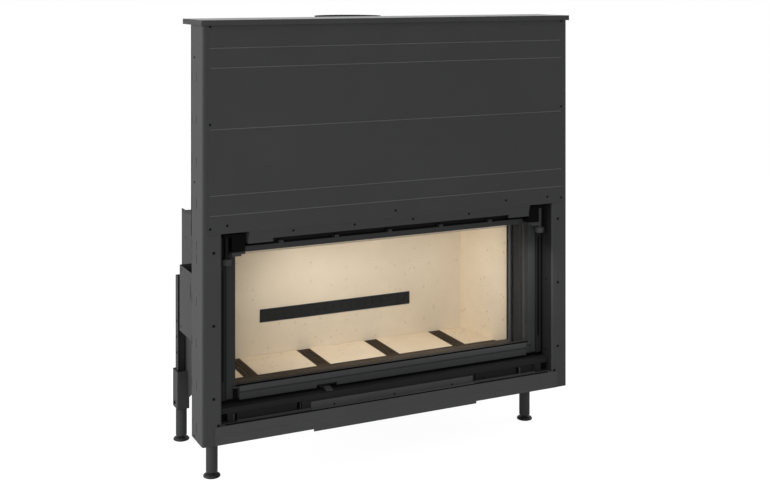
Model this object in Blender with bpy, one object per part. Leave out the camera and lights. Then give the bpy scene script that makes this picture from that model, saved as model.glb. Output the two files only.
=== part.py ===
"""Built-in wood-burning firebox with a lift-up glass door, in metres.

X is the width, the door faces -Y and +Z is up. Every piece is modelled in the casing's own
coordinates (x, depth behind the casing's front face, height above the floor), under one empty
that puts the whole insert over the origin. The casing is the tall folded-steel box that the open
door slides up into, and the firebox with its fireclay lining stands behind it on four legs.
"""

import math

import bmesh
import bpy
from mathutils import Vector

# Fits and shop practice
fit_gap = 0.0003
cut_overrun = 0.004
weld_bite = 0.001
round_sides = 32
bend_steps = 3

# Front casing
casing_width = 1.577
casing_depth = 0.141
floor_clearance = 0.183
insert_height = 1.733
casing_sheet = 0.003
casing_bend = 0.008
column_width = 0.0735
rear_flange = 0.020
return_drop = 0.170

# Ventilation slots in the casing's sides, two groups one above the other
slot_rows = 5
slot_pitch = 0.155
slot_height = 0.036
slot_width = 0.004
upper_slots_drop = 0.209
lower_slots_rise = 0.670
front_slot_depth = 0.072

# Creased front panel, head plate and lower rail
panel_sheet = 0.002
panel_inset = 0.0215
panel_rise = 0.011
crease_shares = (0.087, 0.181, 0.491, 0.779, 0.872)
crease_width = 0.008
crease_depth = 0.0011
head_side_gap = 0.007
head_overlap = 0.023
head_rise = 0.034
head_slope = 0.010
head_return = 0.018
rail_rise = 0.014
rail_inset = 0.0475
rail_return = 0.024
rail_crease_rise = 0.031
rail_drop = 0.009

# Top cap
cap_overhang = 0.010
cap_side_lap = 0.0065
cap_sheet = 0.003
cap_lip = 0.020
cap_reach = 0.229

# Door leaf, measured behind the casing's front face
leaf_front = 0.068
leaf_thickness = 0.032
leaf_side_gap = 0.039
leaf_low = 0.322
leaf_height = 0.562
stile_width = 0.035
top_rail_height = 0.021
low_rail_height = 0.044
glass_lap = 0.014
glass_thickness = 0.004
glass_front = 0.010
seal_width = 0.011
seal_thickness = 0.0114
seal_inset = 0.002
seal_reach = 0.007
leaf_wall = 0.003
clip_half = 0.008
clip_length = 0.014
clip_height = 0.007
clip_spacing = 0.229
clip_count = 5

# Two-step bottom rail of the door, with the notch for the air lever
kick_side_gap = 0.0485
kick_stand = 0.010
kick_hang = 0.007
kick_face = 0.030
kick_lap = 0.001
kick_sheet = 0.003
kick_bevel = 0.006
notch_centre = -0.274
notch_half = 0.042
notch_height = 0.012

# Corner blocks and latch pins
block_width = 0.052
block_inset = 0.008
block_hang = 0.019
block_rise = 0.057
block_stand = 0.042
lug_thickness = 0.012
lug_width = 0.031
lug_half_depth = 0.014
plate_width = 0.036
plate_hang = 0.006
plate_height = 0.014
plate_thickness = 0.002
pin_side = 0.007
pin_stand = 0.024
pin_radius = 0.0095
pin_rise = 0.004
knob_radius = 0.0195
knob_hang = 0.039
knob_height = 0.023
knob_bevel = 0.003

# Lift carriage and its guide rails
post_width = 0.0245
post_side_gap = 0.003
post_stand = 0.002
post_hang = 0.004
post_rise = 0.041
crossbar_height = 0.020
shoe_length = 0.060
keeper_thickness = 0.0035
keeper_reach = 0.008
hinge_setback = 0.008
hinge_rise = 0.012
hinge_pin_radius = 0.004
hinge_pin_bite = 0.018
hinge_sides = 16
guide_setback = 0.008
guide_width = 0.032
guide_reach = 0.0092
guide_sheet = 0.002
guide_foot = 0.003
guide_drop = 0.060

# Counterweights, pulleys and steel ropes
pulley_radius = 0.030
pulley_drop = 0.100
pulley_width = 0.016
pulley_rim = 0.035
pulley_sides = 24
axle_radius = 0.005
axle_clearance = 0.0004
rope_radius = 0.0015
rope_setback = 0.015
rope_steps = 12
weight_width = 0.054
weight_depth = 0.056
weight_length = 0.800
weight_drop = 0.080
cheek_sheet = 0.003
cheek_height = 0.060
cheek_gap = 0.0006
cheek_reach = 0.012

# Portal frame that the closed door seals against
portal_sheet = 0.006
portal_lap = 0.020
portal_hang = 0.032
portal_rise = 0.021
mouth_side_inset = 0.049
mouth_low_inset = 0.023
mouth_high_inset = 0.016
collar_sheet = 0.004
collar_reach = 0.097
collar_rise = 0.015

# Fireclay lining and chamber
chamber_back = 0.600
chamber_side_gap = 0.012
chamber_splay = 0.170
clay = 0.028
floor_drop = 0.027
lining_drop = 0.0463
bar_width = 0.062
bar_pitch_share = 0.258
bar_count = 4
bar_length = 0.235
bar_recess = 0.001
grate_slots = 3
grate_wall = 0.006
grate_plate = 0.008
grate_slot_width = 0.005
jet_half = 0.354
jet_rise = 0.138
jet_height = 0.055
jet_plate = 0.003
jet_slots = 18
jet_slot_width = 0.004
jet_slot_height = 0.020
jet_channel_margin = 0.008
jet_channel_depth = 0.012
lintel_bearing = 0.018
baffle_depth = 0.290
baffle_thickness = 0.025
baffle_bearing = 0.012

# Steel firebox, smoke dome and flue collar
shell_sheet = 0.004
shell_rise = 0.012
throat_inset = 0.075
throat_depth = 0.330
throat_back_gap = 0.010
dome_side_lap = 0.045
dome_front_lap = 0.035
dome_back_lap = 0.028
dome_foot = 0.030
dome_height = 0.483
dome_sheet = 0.003
flue_inset = 0.119
flue_radius = 0.141
flue_sheet = 0.003
flue_drop = 0.0035

# Convection jacket and side air boxes
jacket_back_gap = 0.065
jacket_side_gap = 0.0585
jacket_sheet = 0.002
jacket_low = 0.505
jacket_rise = 0.0056
jacket_bend = 0.100
jacket_splay = 0.228
tab_length = 0.052
tab_rise = 0.010
jacket_flange = 0.018
jacket_rim = 0.060
side_box_inset = 0.0305
side_box_depth = 0.253
side_box_height = 0.258
side_box_sheet = 0.002

# Base frame, legs and levelling feet
base_height = 0.022
base_sheet = 0.003
base_rear_gap = 0.030
base_flange = 0.025
leg_inset = 0.0925
front_leg_gap = 0.040
rear_leg_gap = 0.073
leg_radius = 0.0225
leg_bore = 0.0195
leg_plug = 0.030
leg_low = 0.020
sleeve_wall = 0.0057
rear_sleeve_wall = 0.0022
rear_sleeve_front = 0.030
rear_sleeve_back = 0.036
rear_plate_drop = 0.012
front_sleeve_hang = 0.035
rear_sleeve_low = 0.132
rear_sleeve_height = 0.153
bracket_high = 0.669
bracket_back = 0.0285
bracket_out = 0.0164
bracket_plate_reach = 0.087
gusset_low = 0.174
gusset_rise = 0.034
bracket_strip = 0.034
bracket_sheet = 0.003
bracket_hole_radius = 0.005
bracket_hole_rises = (0.069, 0.133, 0.198)
foot_radius = 0.0325
foot_edge = 0.006
foot_dome = 0.012
foot_neck = 0.011
foot_neck_top = 0.018
stem_radius = 0.008
stem_length = 0.090
stem_clearance = 0.0004

# Air box under the door, its cover and the air lever
air_gap = 0.012
air_height = 0.067
air_lip = 0.020
air_front = 0.030
air_sheet = 0.002
upright_inner_gap = 0.019
upright_outer_gap = 0.070
upright_width = 0.003
cover_half = 0.353
cover_height = 0.041
cover_sheet = 0.0025
lever_half = 0.014
lever_rise = 0.009
lever_sheet = 0.003
lever_knee = 0.030
lever_tip_rise = 0.003

# Casing and door, worked out from the sizes above
casing_half = casing_width / 2
casing_top = insert_height - cap_sheet - fit_gap
column_inner = casing_half - column_width
column_return_top = casing_top - return_drop
upper_slots_top = casing_top - upper_slots_drop
lower_slots_top = floor_clearance + lower_slots_rise
leaf_half = column_inner - leaf_side_gap
leaf_high = leaf_low + leaf_height
leaf_back = leaf_front + leaf_thickness
kick_half = leaf_half - kick_side_gap
kick_front = leaf_front - kick_stand
kick_low = leaf_low - kick_hang
kick_step = kick_low + kick_face
kick_high = leaf_low + low_rail_height + kick_lap
block_outer = leaf_half - block_inset
block_inner = block_outer - block_width
block_low = leaf_high - block_hang
block_high = leaf_high + block_rise
block_front = leaf_front - block_stand
lug_outer = block_outer + lug_width
plate_inner = block_outer - plate_width
plate_low = block_low - plate_hang
plate_high = plate_low + plate_height
pin_offset = leaf_half + pin_side
pin_depth = leaf_front - pin_stand
knob_low = block_low - knob_hang
panel_low = block_high + panel_rise
crease_heights = [panel_low + (casing_top - panel_low) * share for share in crease_shares]
head_half = block_inner - head_side_gap
head_low = leaf_high + head_rise

# Portal, carriage and lift, worked out
portal_front = leaf_back + seal_thickness + 2 * fit_gap
portal_back = portal_front + portal_sheet
portal_half = column_inner + portal_lap
portal_low = leaf_low - portal_hang
portal_high = leaf_high + portal_rise
mouth_half = leaf_half - mouth_side_inset
mouth_low = leaf_low + mouth_low_inset
mouth_high = leaf_high - mouth_high_inset
collar_back = portal_back + collar_reach
column_return = portal_front - fit_gap
post_inner = leaf_half + post_side_gap
post_outer = post_inner + post_width
post_front = leaf_front - post_stand
post_back = leaf_back
post_low = leaf_low - post_hang
post_high = leaf_high + post_rise
keeper_low = block_high + pin_rise + fit_gap
keeper_high = keeper_low + keeper_thickness
keeper_front = pin_depth - keeper_reach
hinge_depth = leaf_front + hinge_setback
hinge_height = leaf_low + hinge_rise
guide_front = leaf_front + guide_setback
rope_depth = leaf_front + rope_setback
rope_offset = (post_inner + post_outer) / 2
pulley_height = casing_top - pulley_drop
pulley_bore = axle_radius + axle_clearance
weight_high = pulley_height - weight_drop
guide_high = column_return_top - guide_drop

# Chamber, dome, jacket and air box, worked out
chamber_half_back = mouth_half - chamber_side_gap
chamber_floor = leaf_low - floor_drop
collar_low = chamber_floor + collar_rise
lining_top = mouth_high - lining_drop
bar_start = chamber_back - bar_length
bar_pitch = 2 * chamber_half_back * bar_pitch_share
bar_places = [(i - (bar_count - 1) / 2) * bar_pitch for i in range(bar_count)]
jet_low = chamber_floor + jet_rise
baffle_front = chamber_back - baffle_depth
shell_front = portal_back + fit_gap
shell_top = portal_high + shell_rise
throat_half = chamber_half_back - throat_inset
throat_back = chamber_back - throat_back_gap
throat_front = throat_back - throat_depth
dome_half = throat_half + dome_side_lap
dome_front = throat_front - dome_front_lap
dome_back = throat_back + dome_back_lap
dome_top = shell_top + dome_height
flue_depth = chamber_back - flue_inset
flue_top = insert_height - flue_drop
jacket_rear = chamber_back + jacket_back_gap
jacket_knee = chamber_back - jacket_bend
jacket_half_rear = chamber_half_back + jacket_side_gap
jacket_high = shell_top + jacket_rise
side_box_offset = casing_half - side_box_inset
side_box_rear = casing_depth + side_box_depth
side_box_high = jacket_low + side_box_height
air_top = kick_low - air_gap
air_low = air_top - air_height
guide_low = air_top + guide_foot
rail_top = air_low + rail_rise
rail_crease_height = floor_clearance + rail_crease_rise
cover_high = air_low + cover_height
upright_inner = cover_half + upright_inner_gap
upright_outer = column_inner - upright_outer_gap
lever_height = air_top + lever_rise
lever_tip_height = air_top + lever_tip_rise

# Base and legs, worked out
base_top = chamber_floor - clay - shell_sheet - 2 * fit_gap
base_low = base_top - base_height
base_rear = chamber_back + base_rear_gap
leg_offset = casing_half - leg_inset
front_leg_depth = casing_depth + front_leg_gap
rear_leg_depth = jacket_rear - rear_leg_gap
bore_half = leg_radius + fit_gap
sleeve_half = bore_half + sleeve_wall
rear_sleeve_high = rear_sleeve_low + rear_sleeve_height
base_half_front = leg_offset + sleeve_half
plate_front = rear_leg_depth - bracket_plate_reach
plate_share = (plate_front - shell_front) / (base_rear - shell_front)
base_half_rear = base_half_front - (base_half_front - jacket_half_rear) / plate_share
rear_plate_high = rear_sleeve_high - rear_plate_drop
stem_top = leg_low + stem_length
front_y = (cap_overhang - jacket_rear) / 2

finishes = {
    "casing_paint": ((0.040, 0.040, 0.042, 1.0), 0.55, 0.30),
    "black_steel": ((0.018, 0.018, 0.019, 1.0), 0.60, 0.40),
    "door_paint": ((0.050, 0.055, 0.060, 1.0), 0.45, 0.40),
    "fireclay": ((0.680, 0.560, 0.390, 1.0), 0.85, 0.00),
    "cast_brown": ((0.070, 0.055, 0.042, 1.0), 0.65, 0.30),
    "glass": ((0.900, 0.920, 0.920, 1.0), 0.05, 0.00),
    "zinc": ((0.450, 0.460, 0.470, 1.0), 0.40, 0.90),
    "seal_rope": ((0.100, 0.100, 0.095, 1.0), 0.95, 0.00),
    "raw_steel": ((0.200, 0.200, 0.210, 1.0), 0.45, 0.80),
}


def chamber_half(depth):
    """Half width between the side linings at a depth: the chamber widens towards the door."""
    return chamber_half_back + (chamber_back - depth) * chamber_splay


def jacket_half(depth):
    """Outer half width of the convection jacket at a depth: straight behind, splayed in front."""
    return jacket_half_rear + max(jacket_knee - depth, 0) * jacket_splay


def base_half(depth):
    """Outer half width of the base frame at a depth."""
    share = (depth - shell_front) / (base_rear - shell_front)
    return base_half_front + (base_half_rear - base_half_front) * share


def material_for(name, finish):
    """The piece's own Principled material in one of the insert's finishes."""
    colour, roughness, metallic = finishes[finish]
    material = bpy.data.materials.new(name + "_finish")
    material.use_nodes = True
    shader = material.node_tree.nodes["Principled BSDF"]
    shader.inputs["Base Color"].default_value = colour
    shader.inputs["Roughness"].default_value = roughness
    shader.inputs["Metallic"].default_value = metallic
    if finish == "glass":
        shader.inputs["Transmission Weight"].default_value = 1.0
    return material


def add_empty(name, place, parent):
    """An empty at a place in the casing's coordinates, under a parent at its own place."""
    empty = bpy.data.objects.new(name, None)
    bpy.context.scene.collection.objects.link(empty)
    empty["place"] = place
    seat(empty, place, parent)
    return empty


def seat(thing, place, parent):
    """Parents a thing and sets its location so that it stands at a place in casing coordinates."""
    thing.parent = parent
    thing.location = Vector(place) - Vector(parent["place"]) if parent else Vector(place)


def add_piece(name, shape, finish, parent, place=(0, 0, 0), round_edges=False):
    """One object from a bmesh in casing coordinates, with its origin moved to a place."""
    bmesh.ops.translate(shape, verts=shape.verts, vec=-Vector(place))
    bmesh.ops.recalc_face_normals(shape, faces=shape.faces)
    mesh = bpy.data.meshes.new(name)
    shape.to_mesh(mesh)
    shape.free()
    if round_edges:
        mesh.shade_smooth()
        mesh.set_sharp_from_angle(angle=math.radians(35))
    piece = bpy.data.objects.new(name, mesh)
    piece.data.materials.append(material_for(name, finish))
    bpy.context.scene.collection.objects.link(piece)
    seat(piece, place, parent)
    return piece


def add_tool(name, shape, parent):
    """A hidden shape that a Boolean adds to a piece or takes out of it."""
    bmesh.ops.recalc_face_normals(shape, faces=shape.faces)
    mesh = bpy.data.meshes.new(name)
    shape.to_mesh(mesh)
    shape.free()
    tool = bpy.data.objects.new(name, mesh)
    tool.hide_render = True
    tool.display_type = "WIRE"
    bpy.context.scene.collection.objects.link(tool)
    seat(tool, (0, 0, 0), parent)
    return tool


def combine(piece, tool, operation):
    """Adds one exact Boolean step to a piece."""
    step = piece.modifiers.new(operation.title(), "BOOLEAN")
    step.operation = operation
    step.solver = "EXACT"
    step.object = tool


def along_axis(outline_point, position, axis):
    """A point whose two outline coordinates fill the other two axes, in the order x, depth, z."""
    a, b = outline_point
    return {"x": (position, a, b), "y": (a, position, b), "z": (a, b, position)}[axis]


def extrude(outline, low, high, axis, shape=None):
    """A prism: the outline is filled and extruded from low to high along an axis."""
    shape = shape or bmesh.new()
    face = shape.faces.new([shape.verts.new(along_axis(point, low, axis)) for point in outline])
    grown = bmesh.ops.extrude_face_region(shape, geom=[face])
    moved = [item for item in grown["geom"] if isinstance(item, bmesh.types.BMVert)]
    bmesh.ops.translate(shape, verts=moved, vec=along_axis((0, 0), high - low, axis))
    return shape


def box(low, high, shape=None):
    """A rectangular block between two corners."""
    outline = [(low[0], low[1]), (high[0], low[1]), (high[0], high[1]), (low[0], high[1])]
    return extrude(outline, low[2], high[2], "z", shape)


def rectangle(left, right, low, high):
    """Corner points of an upright or flat rectangle."""
    return [(left, low), (right, low), (right, high), (left, high)]


def ring_prism(outer, inner, low, high, axis):
    """A prism with one opening: outer and inner outlines with the same number of points."""
    shape = bmesh.new()
    loops = []
    for outline, position in ((outer, low), (outer, high), (inner, high), (inner, low)):
        loops.append([shape.verts.new(along_axis(point, position, axis)) for point in outline])
    join_loops(shape, loops + loops[:1])
    return shape


def join_loops(shape, loops):
    """Quads between each loop of vertices and the next."""
    for first, second in zip(loops, loops[1:]):
        for i in range(len(first)):
            j = (i + 1) % len(first)
            shape.faces.new((first[i], first[j], second[j], second[i]))


def mirrored(points, side):
    """An outline for the right side (side 1) or mirrored to the left side (side -1)."""
    return [(side * x, y) for x, y in points]


def rounded_line(points, radius):
    """A line of corner points whose inner corners become arcs of the radius."""
    line = [Vector(points[0])]
    for before, corner, after in zip(points, points[1:], points[2:]):
        corner = Vector(corner)
        back = (Vector(before) - corner).normalized()
        ahead = (Vector(after) - corner).normalized()
        half_angle = back.angle(ahead) / 2
        reach = radius / math.tan(half_angle)
        centre = corner + (back + ahead).normalized() * radius / math.sin(half_angle)
        start = corner + back * reach - centre
        end = corner + ahead * reach - centre
        for i in range(bend_steps + 1):
            line.append(centre + start.slerp(end, i / bend_steps) * radius)
    line.append(Vector(points[-1]))
    return line


def sheet(line, thickness):
    """Closed outline of a folded sheet: one face on the line, its thickness to the line's left."""
    line = [Vector(point) for point in line]
    runs = [(b - a).normalized() for a, b in zip(line, line[1:])]
    normals = [Vector((-run.y, run.x)) for run in runs]
    back = []
    for i, point in enumerate(line):
        first = normals[max(i - 1, 0)]
        second = normals[min(i, len(normals) - 1)]
        back.append(point + (first + second) * thickness / (1 + first.dot(second)))
    return [tuple(point) for point in line + back[::-1]]


def turned(profile, centre, axis, sides=round_sides):
    """A profile of (radius, height) points spun a full turn about an upright or depth axis."""
    shape = bmesh.new()
    across = Vector((1, 0, 0))
    up = Vector((0, 0, 1)) if axis == "z" else Vector((0, 1, 0))
    verts = [shape.verts.new(Vector(centre) + across * r + up * h) for r, h in profile]
    edges = [shape.edges.new(pair) for pair in zip(verts, verts[1:])]
    if profile[0][0] > 0:
        edges.append(shape.edges.new((verts[-1], verts[0])))
    bmesh.ops.spin(shape, geom=verts + edges, cent=centre, axis=up, angle=2 * math.pi,
                   steps=sides, use_merge=True)
    bmesh.ops.remove_doubles(shape, verts=shape.verts, dist=fit_gap / 3)
    return shape


def creased(low, high, heights):
    """Outline of an upright panel with a V crease pressed into its front at each height."""
    line = [(-fit_gap, low), (-panel_sheet, low)]
    for height in heights:
        line += [(-panel_sheet, height - crease_width / 2), (crease_depth - panel_sheet, height),
                 (-panel_sheet, height + crease_width / 2)]
    return line + [(-panel_sheet, high), (-fit_gap, high)]


def side_casing(side, name, parent):
    """Folded column: front flange, side wall, rear flange and the return that carries the rail."""
    line = [
        (column_inner, column_return),
        (column_inner, 0),
        (casing_half, 0),
        (casing_half, casing_depth),
        (casing_half - rear_flange, casing_depth),
    ]
    outline = sheet(rounded_line(line, casing_bend), casing_sheet)
    shape = extrude(mirrored(outline, side), floor_clearance, casing_top, "z")
    piece = add_piece(name, shape, "casing_paint", parent, round_edges=True)
    slots = bmesh.new()
    rear_slot_depth = casing_depth - casing_bend - slot_width
    for top in (upper_slots_top, lower_slots_top):
        for row in range(slot_rows):
            middle = top - row * slot_pitch
            for depth in (front_slot_depth, rear_slot_depth):
                ends = sorted((side * (casing_half + cut_overrun),
                               side * (casing_half - casing_sheet - cut_overrun)))
                box((ends[0], depth, middle - slot_height / 2),
                    (ends[1], depth + slot_width, middle + slot_height / 2), slots)
    combine(piece, add_tool(name + "_slots", slots, parent), "DIFFERENCE")
    ends = sorted((side * (column_inner - cut_overrun),
                   side * (column_inner + casing_bend + casing_sheet)))
    relief = box((ends[0], casing_bend + casing_sheet, column_return_top),
                 (ends[1], column_return + cut_overrun, casing_top + cut_overrun))
    combine(piece, add_tool(name + "_relief", relief, parent), "DIFFERENCE")


def build_casing(parent):
    """The tall front casing: columns, creased panel, head plate, lower rail, cap, rear plate."""
    side_casing(-1, "side_casing_left", parent)
    side_casing(1, "side_casing_right", parent)

    panel_half = casing_half - panel_inset
    shape = extrude(creased(panel_low, casing_top, crease_heights), -panel_half, panel_half, "x")
    add_piece("upper_front_panel", shape, "casing_paint", parent)

    line = [
        (0, panel_low + head_overlap),
        (0, panel_low),
        (head_slope, head_low),
        (head_slope + head_return, head_low),
    ]
    shape = extrude(sheet(line, panel_sheet), -head_half, head_half, "x")
    add_piece("head_plate", shape, "casing_paint", parent)

    rail_half = casing_half - rail_inset
    shape = extrude(creased(floor_clearance, rail_top, (rail_crease_height,)),
                    -rail_half, rail_half, "x")
    rail = add_piece("lower_front_rail", shape, "casing_paint", parent)
    fold_half = column_inner - 2 * fit_gap
    fold = box((-fold_half, -panel_sheet / 2, rail_top - panel_sheet),
               (fold_half, rail_return, rail_top))
    combine(rail, add_tool("rail_fold", fold, parent), "UNION")
    drop = box((-cover_half, -panel_sheet, floor_clearance - rail_drop),
               (cover_half, -fit_gap, floor_clearance + rail_drop))
    combine(rail, add_tool("rail_drop", drop, parent), "UNION")

    half = casing_half + cap_side_lap
    shape = box((-half, -cap_overhang, insert_height - cap_lip), (half, cap_reach, insert_height))
    cap = add_piece("top_cap", shape, "casing_paint", parent)
    hollow = box(
        (-half + cap_sheet, -cap_overhang + cap_sheet, insert_height - cap_lip - cut_overrun),
        (half - cap_sheet, cap_reach - cap_sheet, insert_height - cap_sheet))
    combine(cap, add_tool("cap_hollow", hollow, parent), "DIFFERENCE")

    rear = casing_depth + fit_gap
    shape = box((-casing_half, rear, jacket_high + jacket_sheet),
                (casing_half, rear + panel_sheet, casing_top))
    add_piece("casing_rear_plate", shape, "black_steel", parent)


def build_portal(parent):
    """Door portal: a thick flange with the fire opening and a collar back to the lining."""
    outer = rectangle(-portal_half, portal_half, portal_low, portal_high)
    inner = rectangle(-mouth_half, mouth_half, mouth_low, mouth_high)
    shape = ring_prism(outer, inner, portal_front, portal_back, "y")
    piece = add_piece("front_frame", shape, "black_steel", parent)
    outer = rectangle(-mouth_half - collar_sheet, mouth_half + collar_sheet,
                      collar_low, mouth_high + collar_sheet)
    inner = rectangle(-mouth_half, mouth_half, collar_low + collar_sheet, mouth_high)
    collar = ring_prism(outer, inner, portal_back - collar_sheet / 2, collar_back, "y")
    combine(piece, add_tool("portal_collar", collar, parent), "UNION")


def build_firebox(parent):
    """The welded steel firebox with the smoke dome and the flue collar above it."""
    wall = clay + fit_gap
    bottom = chamber_floor - wall - shell_sheet
    rear = chamber_back + wall

    def plan(offset, front, back):
        return [(-chamber_half(front) - offset, front), (chamber_half(front) + offset, front),
                (chamber_half(back) + offset, back), (-chamber_half(back) - offset, back)]

    slant = math.hypot(1, chamber_splay)
    inner_offset = wall * slant
    outer_offset = (wall + shell_sheet) * slant
    shape = extrude(plan(outer_offset, shell_front, rear + shell_sheet), bottom, shell_top, "z")
    shell = add_piece("firebox_shell", shape, "black_steel", parent)
    hollow = extrude(plan(inner_offset, shell_front - cut_overrun, rear),
                     bottom + shell_sheet, shell_top - shell_sheet, "z")
    combine(shell, add_tool("firebox_hollow", hollow, parent), "DIFFERENCE")
    throat = box((-throat_half, throat_front, shell_top - shell_sheet - cut_overrun),
                 (throat_half, throat_back, shell_top + cut_overrun))
    combine(shell, add_tool("firebox_throat", throat, parent), "DIFFERENCE")

    foot = shell_top + fit_gap
    steps = round_sides // 4
    dome = bmesh.new()
    loops = []
    for inset, levels in ((0, (foot, foot + dome_foot, dome_top)),
                          (dome_sheet, (dome_top, foot + dome_foot, foot))):
        for level in levels:
            loops.append([dome.verts.new((x, y, level))
                          for x, y in dome_loop(inset, level == dome_top, steps)])
    join_loops(dome, loops + loops[:1])
    bmesh.ops.triangulate(dome, faces=dome.faces, quad_method="SHORT_EDGE")
    add_piece("smoke_dome", dome, "black_steel", parent, round_edges=True)

    low = dome_top + fit_gap
    ring = [(flue_radius - flue_sheet, low), (flue_radius, low), (flue_radius, flue_top),
            (flue_radius - flue_sheet, flue_top)]
    lip = [(flue_radius - flue_sheet, low), (flue_radius + flue_sheet, low),
           (flue_radius + flue_sheet, low + flue_sheet), (flue_radius, low + flue_sheet)]
    profile = lip + ring[2:]
    add_piece("flue_collar", turned(profile, (0, flue_depth, 0), "z"), "black_steel", parent,
              round_edges=True)


def dome_loop(inset, is_round, steps):
    """Points of the dome's section, from a rounded rectangle at its foot to the flue's circle."""
    points = []
    half = dome_half - inset
    middle = (dome_front + dome_back) / 2
    deep = (dome_back - dome_front) / 2 - inset
    for i in range(4 * steps):
        angle = 2 * math.pi * (i + 0.5) / (4 * steps)
        cosine, sine = math.cos(angle), math.sin(angle)
        if is_round:
            radius = flue_radius - inset
            points.append((radius * cosine, flue_depth + radius * sine))
        else:
            stretch = 1 / max(abs(cosine), abs(sine))
            points.append((half * cosine * stretch, middle + deep * sine * stretch))
    return points


def build_lining(parent):
    """Fireclay slabs, floor tiles between the air bars, the jet strip, lintel and baffle."""
    slab_low = chamber_floor - clay
    start = collar_back + fit_gap
    back = chamber_back - fit_gap
    slant = math.hypot(1, chamber_splay)
    for side, name in ((-1, "lining_left"), (1, "lining_right")):
        outline = [(chamber_half(start), start), (chamber_half(start) + clay * slant, start),
                   (chamber_half(back) + clay * slant, back), (chamber_half(back), back)]
        shape = extrude(mirrored(outline, side), slab_low, lining_top, "z")
        add_piece(name, shape, "fireclay", parent)

    rear = chamber_back + clay
    wide = clay * slant
    outline = [(-chamber_half(chamber_back) - wide, chamber_back),
               (chamber_half(chamber_back) + wide, chamber_back),
               (chamber_half(rear) + wide, rear), (-chamber_half(rear) - wide, rear)]
    piece = add_piece("lining_back", extrude(outline, slab_low, lining_top, "z"), "fireclay", parent)
    margin = jet_channel_margin
    channel = box((-jet_half + margin, chamber_back - cut_overrun, jet_low + margin),
                  (jet_half - margin, chamber_back + jet_channel_depth,
                   jet_low + jet_height - margin))
    combine(piece, add_tool("jet_channel", channel, parent), "DIFFERENCE")

    shape = box((-jet_half, back - jet_plate, jet_low), (jet_half, back, jet_low + jet_height))
    strip = add_piece("air_jet_strip", shape, "black_steel", parent)
    slots = bmesh.new()
    pitch = 2 * (jet_half - margin) / jet_slots
    for i in range(jet_slots):
        middle = -jet_half + margin + pitch * (i + 0.5)
        centre = jet_low + jet_height / 2
        box((middle - jet_slot_width / 2, back - jet_plate - cut_overrun,
             centre - jet_slot_height / 2),
            (middle + jet_slot_width / 2, back + cut_overrun, centre + jet_slot_height / 2), slots)
    combine(strip, add_tool("jet_slots", slots, parent), "DIFFERENCE")

    build_floor(parent, slab_low, start, back)

    seat_height = lining_top + fit_gap
    lintel_half = chamber_half(start) + lintel_bearing
    shape = box((-lintel_half, start, seat_height), (lintel_half, start + clay, portal_high))
    add_piece("lining_lintel", shape, "fireclay", parent)
    front_half = chamber_half(baffle_front) + baffle_bearing
    rear_half = chamber_half(rear) + baffle_bearing
    outline = [(-front_half, baffle_front), (front_half, baffle_front), (rear_half, rear),
               (-rear_half, rear)]
    shape = extrude(outline, seat_height, seat_height + baffle_thickness, "z")
    add_piece("smoke_baffle", shape, "fireclay", parent)


def build_floor(parent, slab_low, start, back):
    """Comb-shaped air grate: a strip behind the door and bars back to the rear wall, with tiles."""
    reach = chamber_half(start) - fit_gap
    front_half = chamber_half(bar_start) - fit_gap
    outline = [(-reach, start), (reach, start), (front_half, bar_start)]
    for place in reversed(bar_places):
        right, left = place + bar_width / 2, place - bar_width / 2
        outline += [(right, bar_start), (right, back - fit_gap), (left, back - fit_gap),
                    (left, bar_start)]
    outline.append((-front_half, bar_start))
    top = chamber_floor - bar_recess
    grate = add_piece("floor_air_grate", extrude(outline, slab_low, top, "z"), "cast_brown", parent)
    under = bmesh.new()
    ceiling = top - grate_plate
    wall = grate_wall
    strip = [(-chamber_half(start + wall) + wall, start + wall),
             (chamber_half(start + wall) - wall, start + wall),
             (chamber_half(bar_start - wall) - wall, bar_start - wall),
             (-chamber_half(bar_start - wall) + wall, bar_start - wall)]
    extrude(strip, slab_low - cut_overrun, ceiling, "z", under)
    combine(grate, add_tool("grate_strip_hollow", under, parent), "DIFFERENCE")
    bars = bmesh.new()
    for place in bar_places:
        box((place - bar_width / 2 + wall, bar_start - wall - cut_overrun, slab_low - cut_overrun),
            (place + bar_width / 2 - wall, back - fit_gap - wall, ceiling), bars)
    combine(grate, add_tool("grate_bar_hollows", bars, parent), "DIFFERENCE")
    slots = bmesh.new()
    pitch = bar_width / (grate_slots + 1)
    for place in bar_places:
        for i in range(grate_slots):
            middle = place + pitch * (i + 1) - bar_width / 2
            box((middle - grate_slot_width / 2, bar_start + pitch, slab_low - cut_overrun),
                (middle + grate_slot_width / 2, back - fit_gap - pitch, top + cut_overrun), slots)
    combine(grate, add_tool("grate_slots", slots, parent), "DIFFERENCE")

    tile_start = bar_start + fit_gap
    tile_back = back - fit_gap
    for i in range(len(bar_places) + 1):
        left = bar_places[i - 1] + bar_width / 2 + fit_gap if i else None
        right = bar_places[i] - bar_width / 2 - fit_gap if i < len(bar_places) else None
        outline = [
            (-chamber_half(tile_start) + fit_gap if left is None else left, tile_start),
            (chamber_half(tile_start) - fit_gap if right is None else right, tile_start),
            (chamber_half(tile_back) - fit_gap if right is None else right, tile_back),
            (-chamber_half(tile_back) + fit_gap if left is None else left, tile_back),
        ]
        shape = extrude(outline, slab_low, chamber_floor, "z")
        add_piece("floor_tile_%d" % (i + 1), shape, "fireclay", parent)


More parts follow.
